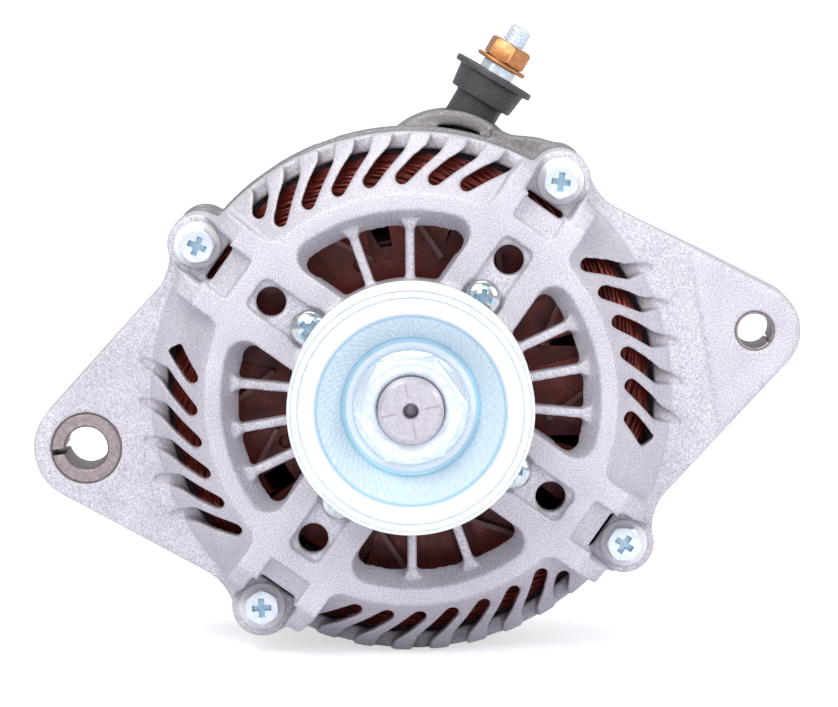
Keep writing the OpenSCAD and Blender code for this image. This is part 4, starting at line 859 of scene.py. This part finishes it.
bush_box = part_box("pivot_bush")
BUSH_R = (bush_box[1].x - bush_box[0].x) * 500
bush_made = split_ring("pivot_bush_made", BUSH_R, PIVOT_BORE_R, bush_box[0].y * 1000,
                       bush_box[1].y * 1000, 1.5, 188, 0.45)
place(bush_made, on_housing(-PIVOT_R, 0, 0))
finish_piece(bush_made, "bush_steel", "bush", "pivot_bush")
sleeve_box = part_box("adjuster_sleeve")
sleeve_made = split_ring("adjuster_sleeve_made", 4.9, 4.2, sleeve_box[0].y * 1000,
                         sleeve_box[1].y * 1000, 0.5, -35, 0.2)
place(sleeve_made, on_housing(ADJUSTER_R, 0, 0))
finish_piece(sleeve_made, "bush_steel", "housing", "adjuster_sleeve")

# %% [markdown]
# The output terminal leans out of the top. Its insulator is one glass-filled moulding with a cup
# that keeps fingers and water off the stud, and it has the small ring of a mould mark. Above it
# come a bright spacer and a thin yellow washer.

# %% Insulator, spacer and washer
TERMINAL_FOOT = Vector((14.55, 100.7, 65.09)) * MM
TERMINAL_LEAN = math.radians(30.8)


def on_terminal(piece):
    """Stands a piece, made along Y from its foot, on the terminal's own axis."""
    place(piece, rotation=(math.pi / 2, 0, 0))
    place(piece, TERMINAL_FOOT, (0, TERMINAL_LEAN, 0))


insulator_made = turned_piece("insulator_made", [
    (2.8, -14.0), (6.1, -14.0), (6.4, -13.7), (6.4, 5.3), (6.6, 5.8), (8.1, 5.9), (8.4, 6.2),
    (9.1, 11.6), (9.3, 11.8), (10.5, 11.85), (10.75, 12.1), (10.75, 13.15), (10.5, 13.4),
    (9.25, 13.4), (8.95, 13.15), (8.8, 12.7), (5.7, 12.6), (5.4, 12.75), (5.2, 13.4),
    (2.8, 13.4)], 96)
on_terminal(insulator_made)
bpy.ops.object.select_all(action="DESELECT")
bpy.ops.mesh.primitive_torus_add(major_radius=1.35 * MM, minor_radius=0.14 * MM,
                                 major_segments=32, minor_segments=8)
mould_mark = bpy.context.object
place(mould_mark, (16.2 * MM, (100.7 - 6.38) * MM, 68.0 * MM), (math.pi / 2, 0, 0))
insulator_made = join([insulator_made, mould_mark], "insulator_made")
smooth(insulator_made, 32)
finish_piece(insulator_made, "insulator_plastic", "housing", "terminal_insulator")

spacer_made = turned_piece("spacer_made", [(2.8, 13.4), (4.3, 13.4), (4.5, 13.6), (4.5, 15.8),
                                           (4.3, 16.0), (2.8, 16.0)], 64)
on_terminal(spacer_made)
smooth(spacer_made)
finish_piece(spacer_made, "zinc_steel", "housing", "terminal_spacer")

washer_made = turned_piece("washer_made", [(2.8, 16.05), (6.5, 16.0), (6.8, 16.2), (6.8, 16.7),
                                           (6.5, 16.95), (2.8, 17.0)], 64)
on_terminal(washer_made)
smooth(washer_made)
finish_piece(washer_made, "yellow_brass", "housing", "terminal_washer")

# %% [markdown]
# The cable is clamped by a brass nut, chamfered on both sides: it is made upside down, turned
# over, and its other chamfer is cut. The last turns of the stud's thread stand above it.

# %% Brass nut and stud
NUT_LOW = 17.0
NUT_HIGH = 22.1
BRASS_FLATS = 10
brass_nut = hexagon("brass_nut", BRASS_FLATS, -NUT_HIGH, -NUT_LOW, 4.7, 2.8)
place(brass_nut, rotation=(math.pi, 0, 0))
under = turned_piece("nut_underside", [(2.0, NUT_LOW - 0.1), (4.7, NUT_LOW), (7.0, NUT_LOW + 1.2),
                                       (7.0, NUT_HIGH + 1), (2.0, NUT_HIGH + 1)], 96)
cut(brass_nut, under, "INTERSECT")
place(brass_nut, rotation=(0, math.radians(12), 0))
soften(brass_nut, 0.12, 24)
on_terminal(brass_nut)
smooth(brass_nut, 26)
finish_piece(brass_nut, "yellow_brass", "housing", "terminal_nut")

STUD_TOP = 26.9
stud_profile = [(0, -17.0), (2.8, -17.0), (2.8, 21.2)]
for turn in range(5):
    station = 21.4 + turn
    stud_profile += [(2.45, station), (2.95, station + 0.4), (2.95, station + 0.55),
                     (2.45, station + 0.95)]
stud_profile += [(2.5, STUD_TOP - 0.1), (2.2, STUD_TOP), (0, STUD_TOP)]
stud_made = turned_piece("stud_made", stud_profile, 64)
stud_foot = hexagon("stud_foot", 8.6, 17.0, 21.0, 4.2)
place(stud_foot, rotation=(0, 0, math.pi))
stud_made = join([stud_made, stud_foot], "stud_made")
on_terminal(stud_made)
smooth(stud_made, 24)
finish_piece(stud_made, "zinc_steel", "housing", "terminal_stud")

# %% [markdown]
# The stator's copper comes out of its slots and crosses over to other slots in leaning hoops,
# the winding heads. Through the slots of the casting one sees these wires as streaks of light.
# One hoop's path runs from a slot up the inner side of the head, across its front and down its
# outer side; wires laid side by side along it are then repeated 36 times by the spin tool.

# %% Winding heads
def wire(name, points, radius_mm):
    """A round wire along points in millimetres."""
    piece = draw_line(name, points)
    leave_edit()
    bpy.ops.object.convert(target="CURVE")
    piece.data.bevel_depth = radius_mm * MM
    piece.data.bevel_resolution = 1
    bpy.ops.object.convert(target="MESH")
    return piece


WIRE_R = 0.6
STRANDS = 5
HOOPS = 36
STATOR_MIDDLE = 67.4
# Radius and station in millimetres, and angle in degrees
HOOP = [(48.3, 52.6, 0), (47.9, 48, 3), (48.0, 44.8, 8), (49.0, 42.2, 14), (51.0, 40.9, 21),
        (53.2, 40.6, 28), (55.3, 41.2, 35), (57.1, 43.0, 43), (57.9, 45.6, 50), (58.0, 49, 56),
        (57.8, 52.6, 60)]
hoop_wires = []
for strand in range(STRANDS):
    path = []
    for step, (radius, station, angle) in enumerate(HOOP):
        turn = math.radians(angle + strand * 2.0)
        lift = 0.45 * math.sin(strand * 2.1 + step * 0.9)
        path.append(((radius + lift) * math.cos(turn), station - abs(lift),
                     (radius + lift) * math.sin(turn)))
    hoop_wires.append(wire("hoop_wire_%d" % strand, path, WIRE_R))
front_head = join(hoop_wires, "front_winding_head")
choose(front_head, "vertices", lambda vertex: True)
bpy.ops.mesh.spin(steps=HOOPS, angle=math.tau, center=(0, 0, 0), axis=(0, 1, 0), dupli=True)
leave_edit()
only(front_head)
bpy.ops.object.shade_smooth()
rear_head = copy_of(front_head, "rear_winding_head")
only(rear_head)
rear_head.scale = (1, -1, 1)
rear_head.location = (0, 2 * STATOR_MIDDLE * MM, 0)
bpy.ops.object.transform_apply(location=True, rotation=True, scale=True)
choose(rear_head, "vertices", lambda vertex: True)
bpy.ops.mesh.normals_make_consistent(inside=False)
leave_edit()
finish_piece(front_head, "enamelled_copper", "housing")
finish_piece(rear_head, "enamelled_copper", "housing")

# %% [markdown]
# The fan is stamped from sheet and spot-welded to the rotor, then both are varnished. Its blades'
# front edges carry a painted highlight: one material mixes the varnish with a lighter, greyer
# colour by the station along the shaft. The weld spots show as small shining dimples.

# %% Fan
fan_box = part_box("front_fan")
FAN_TIP = fan_box[0].y
fan_varnish = new_material("fan_varnish", screen_colour(0.44, 0.13, 0.08), 0.15, 0.3)
fan_grain = give_grain(fan_varnish, screen_colour(0.56, 0.17, 0.11),
                       screen_colour(0.34, 0.09, 0.06), 240, 55, 0.4, 0.2, 0.3, 0.05)
fan_place = add_node(fan_varnish, "ShaderNodeTexCoord")
fan_axes = add_node(fan_varnish, "ShaderNodeSeparateXYZ")
# Painted highlight: a lighter, greyer colour on the blades' front edges, fading out 0.8 mm behind
# the fan's tip.
fan_edge_highlight = add_node(fan_varnish, "ShaderNodeMapRange")
fan_edge_highlight.inputs["From Min"].default_value = FAN_TIP + 0.0002
fan_edge_highlight.inputs["From Max"].default_value = FAN_TIP + 0.0008
fan_edge_highlight.inputs["To Min"].default_value = 1.0
fan_edge_highlight.inputs["To Max"].default_value = 0.0
fan_highlight_mix = add_node(fan_varnish, "ShaderNodeMix", data_type="RGBA")
fan_highlight_mix.inputs["B"].default_value = screen_colour(0.46, 0.3, 0.27)
fan_shader = fan_varnish.node_tree.nodes["Principled BSDF"]
link(fan_varnish, fan_place.outputs["Object"], fan_axes.inputs["Vector"])
link(fan_varnish, fan_axes.outputs["Y"], fan_edge_highlight.inputs["Value"])
link(fan_varnish, fan_edge_highlight.outputs["Result"], fan_highlight_mix.inputs["Factor"])
link(fan_varnish, fan_grain.outputs["Color"], fan_highlight_mix.inputs["A"])
link(fan_varnish, fan_highlight_mix.outputs["Result"], fan_shader.inputs["Base Color"])
for node_name in ("front_fan", "rear_fan"):
    frame["nodes"][node_name].data.materials.clear()
    frame["nodes"][node_name].data.materials.append(fan_varnish)
WELDS = 8
WELD_R = 1.7
WELD_CIRCLE_R = 33.5
WELD_STATION = 47.2
welds = []
for number in range(WELDS):
    angle = math.radians(number * 360 / WELDS + 22)
    bpy.ops.object.select_all(action="DESELECT")
    bpy.ops.mesh.primitive_uv_sphere_add(segments=20, ring_count=10, radius=WELD_R * MM)
    weld = bpy.context.object
    weld.scale = (1, 0.22, 1)
    weld.location = (WELD_CIRCLE_R * math.cos(angle) * MM, WELD_STATION * MM,
                     WELD_CIRCLE_R * math.sin(angle) * MM)
    bpy.ops.object.transform_apply(location=True, rotation=True, scale=True)
    welds.append(weld)
weld_spots = join(welds, "weld_spots")
only(weld_spots)
bpy.ops.object.shade_smooth()
finish_piece(weld_spots, "varnished_iron", "rotor")

# %% [markdown]
# Moulded plastic has rounded corners too. The connector, the regulator and the rectifier's board
# are small, so finer cells are used for their copies.

# %% Moulded parts
for node_name, cell in (("connector_shell", 0.35), ("regulator_body", 0.4), ("brush_holder", 0.35),
                        ("terminal_board", 0.5)):
    moulded = cast_copy(node_name, node_name + "_moulded", cell, 3, 60000)
    finish_piece(moulded, slot_of[node_name], body_of[node_name], node_name)

# %% [markdown]
# The part stands on a white table. The floor adds some light of its own only where the camera
# sees it, so that it reads as white and still keeps the shadow of the part.

# %% Floor
FLOOR_SIDE = 14
FLOOR_GLOW = 0.62
bpy.ops.mesh.primitive_plane_add(size=1)
floor = bpy.context.object
floor.name = "studio_floor"
floor.scale = (FLOOR_SIDE, FLOOR_SIDE, 1)
bpy.ops.object.transform_apply(location=False, rotation=False, scale=True)
place(floor, (0, 1.5, cad_low.z - 0.4 * MM))
floor_white = new_material("floor_white", screen_colour(0.93, 0.92, 0.95), 0, 0.7)
floor_shader = floor_white.node_tree.nodes["Principled BSDF"]
seen = add_node(floor_white, "ShaderNodeLightPath")
glow = add_node(floor_white, "ShaderNodeMath", operation="MULTIPLY")
glow.inputs[1].default_value = FLOOR_GLOW
link(floor_white, seen.outputs["Is Camera Ray"], glow.inputs[0])
link(floor_white, glow.outputs["Value"], floor_shader.inputs["Emission Strength"])
floor_shader.inputs["Emission Color"].default_value = (1, 1, 1, 1)
floor.data.materials.append(floor_white)
print("floor at", round(cad_low.z / MM - 0.4, 1), "mm")

# %% [markdown]
# The room is white to the camera and through glass, but it lights the part with less than that,
# and a little blue. So metal keeps some dark in its reflections.

# %% Room
world = bpy.data.worlds.new("studio_room")
bpy.context.scene.world = world
world.use_nodes = True
room = world.node_tree
room.nodes.clear()
room_out = room.nodes.new("ShaderNodeOutputWorld")
room_path = room.nodes.new("ShaderNodeLightPath")
room_seen = room.nodes.new("ShaderNodeMath")
room_seen.operation = "MAXIMUM"
room_light = room.nodes.new("ShaderNodeBackground")
room_light.inputs["Color"].default_value = (0.93, 0.95, 1.0, 1)
room_light.inputs["Strength"].default_value = 0.55
room_white = room.nodes.new("ShaderNodeBackground")
room_white.inputs["Color"].default_value = (1, 1, 1, 1)
room_white.inputs["Strength"].default_value = 1.0
room_mix = room.nodes.new("ShaderNodeMixShader")
room.links.new(room_path.outputs["Is Camera Ray"], room_seen.inputs[0])
room.links.new(room_path.outputs["Is Transmission Ray"], room_seen.inputs[1])
room.links.new(room_seen.outputs["Value"], room_mix.inputs["Fac"])
room.links.new(room_light.outputs["Background"], room_mix.inputs[1])
room.links.new(room_white.outputs["Background"], room_mix.inputs[2])
room.links.new(room_mix.outputs["Shader"], room_out.inputs["Surface"])
print("room has", len(room.nodes), "nodes")


# %% [markdown]
# Four large square lamps stand where a studio would have its soft boxes: the key at the upper
# left, a fill at the right, one overhead and one in front above the camera.

# %% Lamps
def lamp(name, location, size, watts):
    """A square soft lamp at a place, aimed at the part."""
    bpy.ops.object.light_add(type="AREA", location=location)
    light = bpy.context.object
    light.name = name
    light.data.size = size
    light.data.energy = watts
    aim = -Vector(location)
    light.rotation_euler = aim.to_track_quat("-Z", "Y").to_euler()
    print(name, "has", watts, "W")


lamp("key_lamp", (-0.5, -0.9, 0.9), 0.7, 9)
lamp("right_lamp", (0.9, -0.7, 0.5), 0.6, 4.5)
lamp("top_lamp", (0.0, 0.2, 1.1), 0.8, 5.5)
lamp("front_lamp", (0.05, -1.6, 0.75), 0.9, 5)
bpy.context.scene.view_settings.view_transform = "Standard"
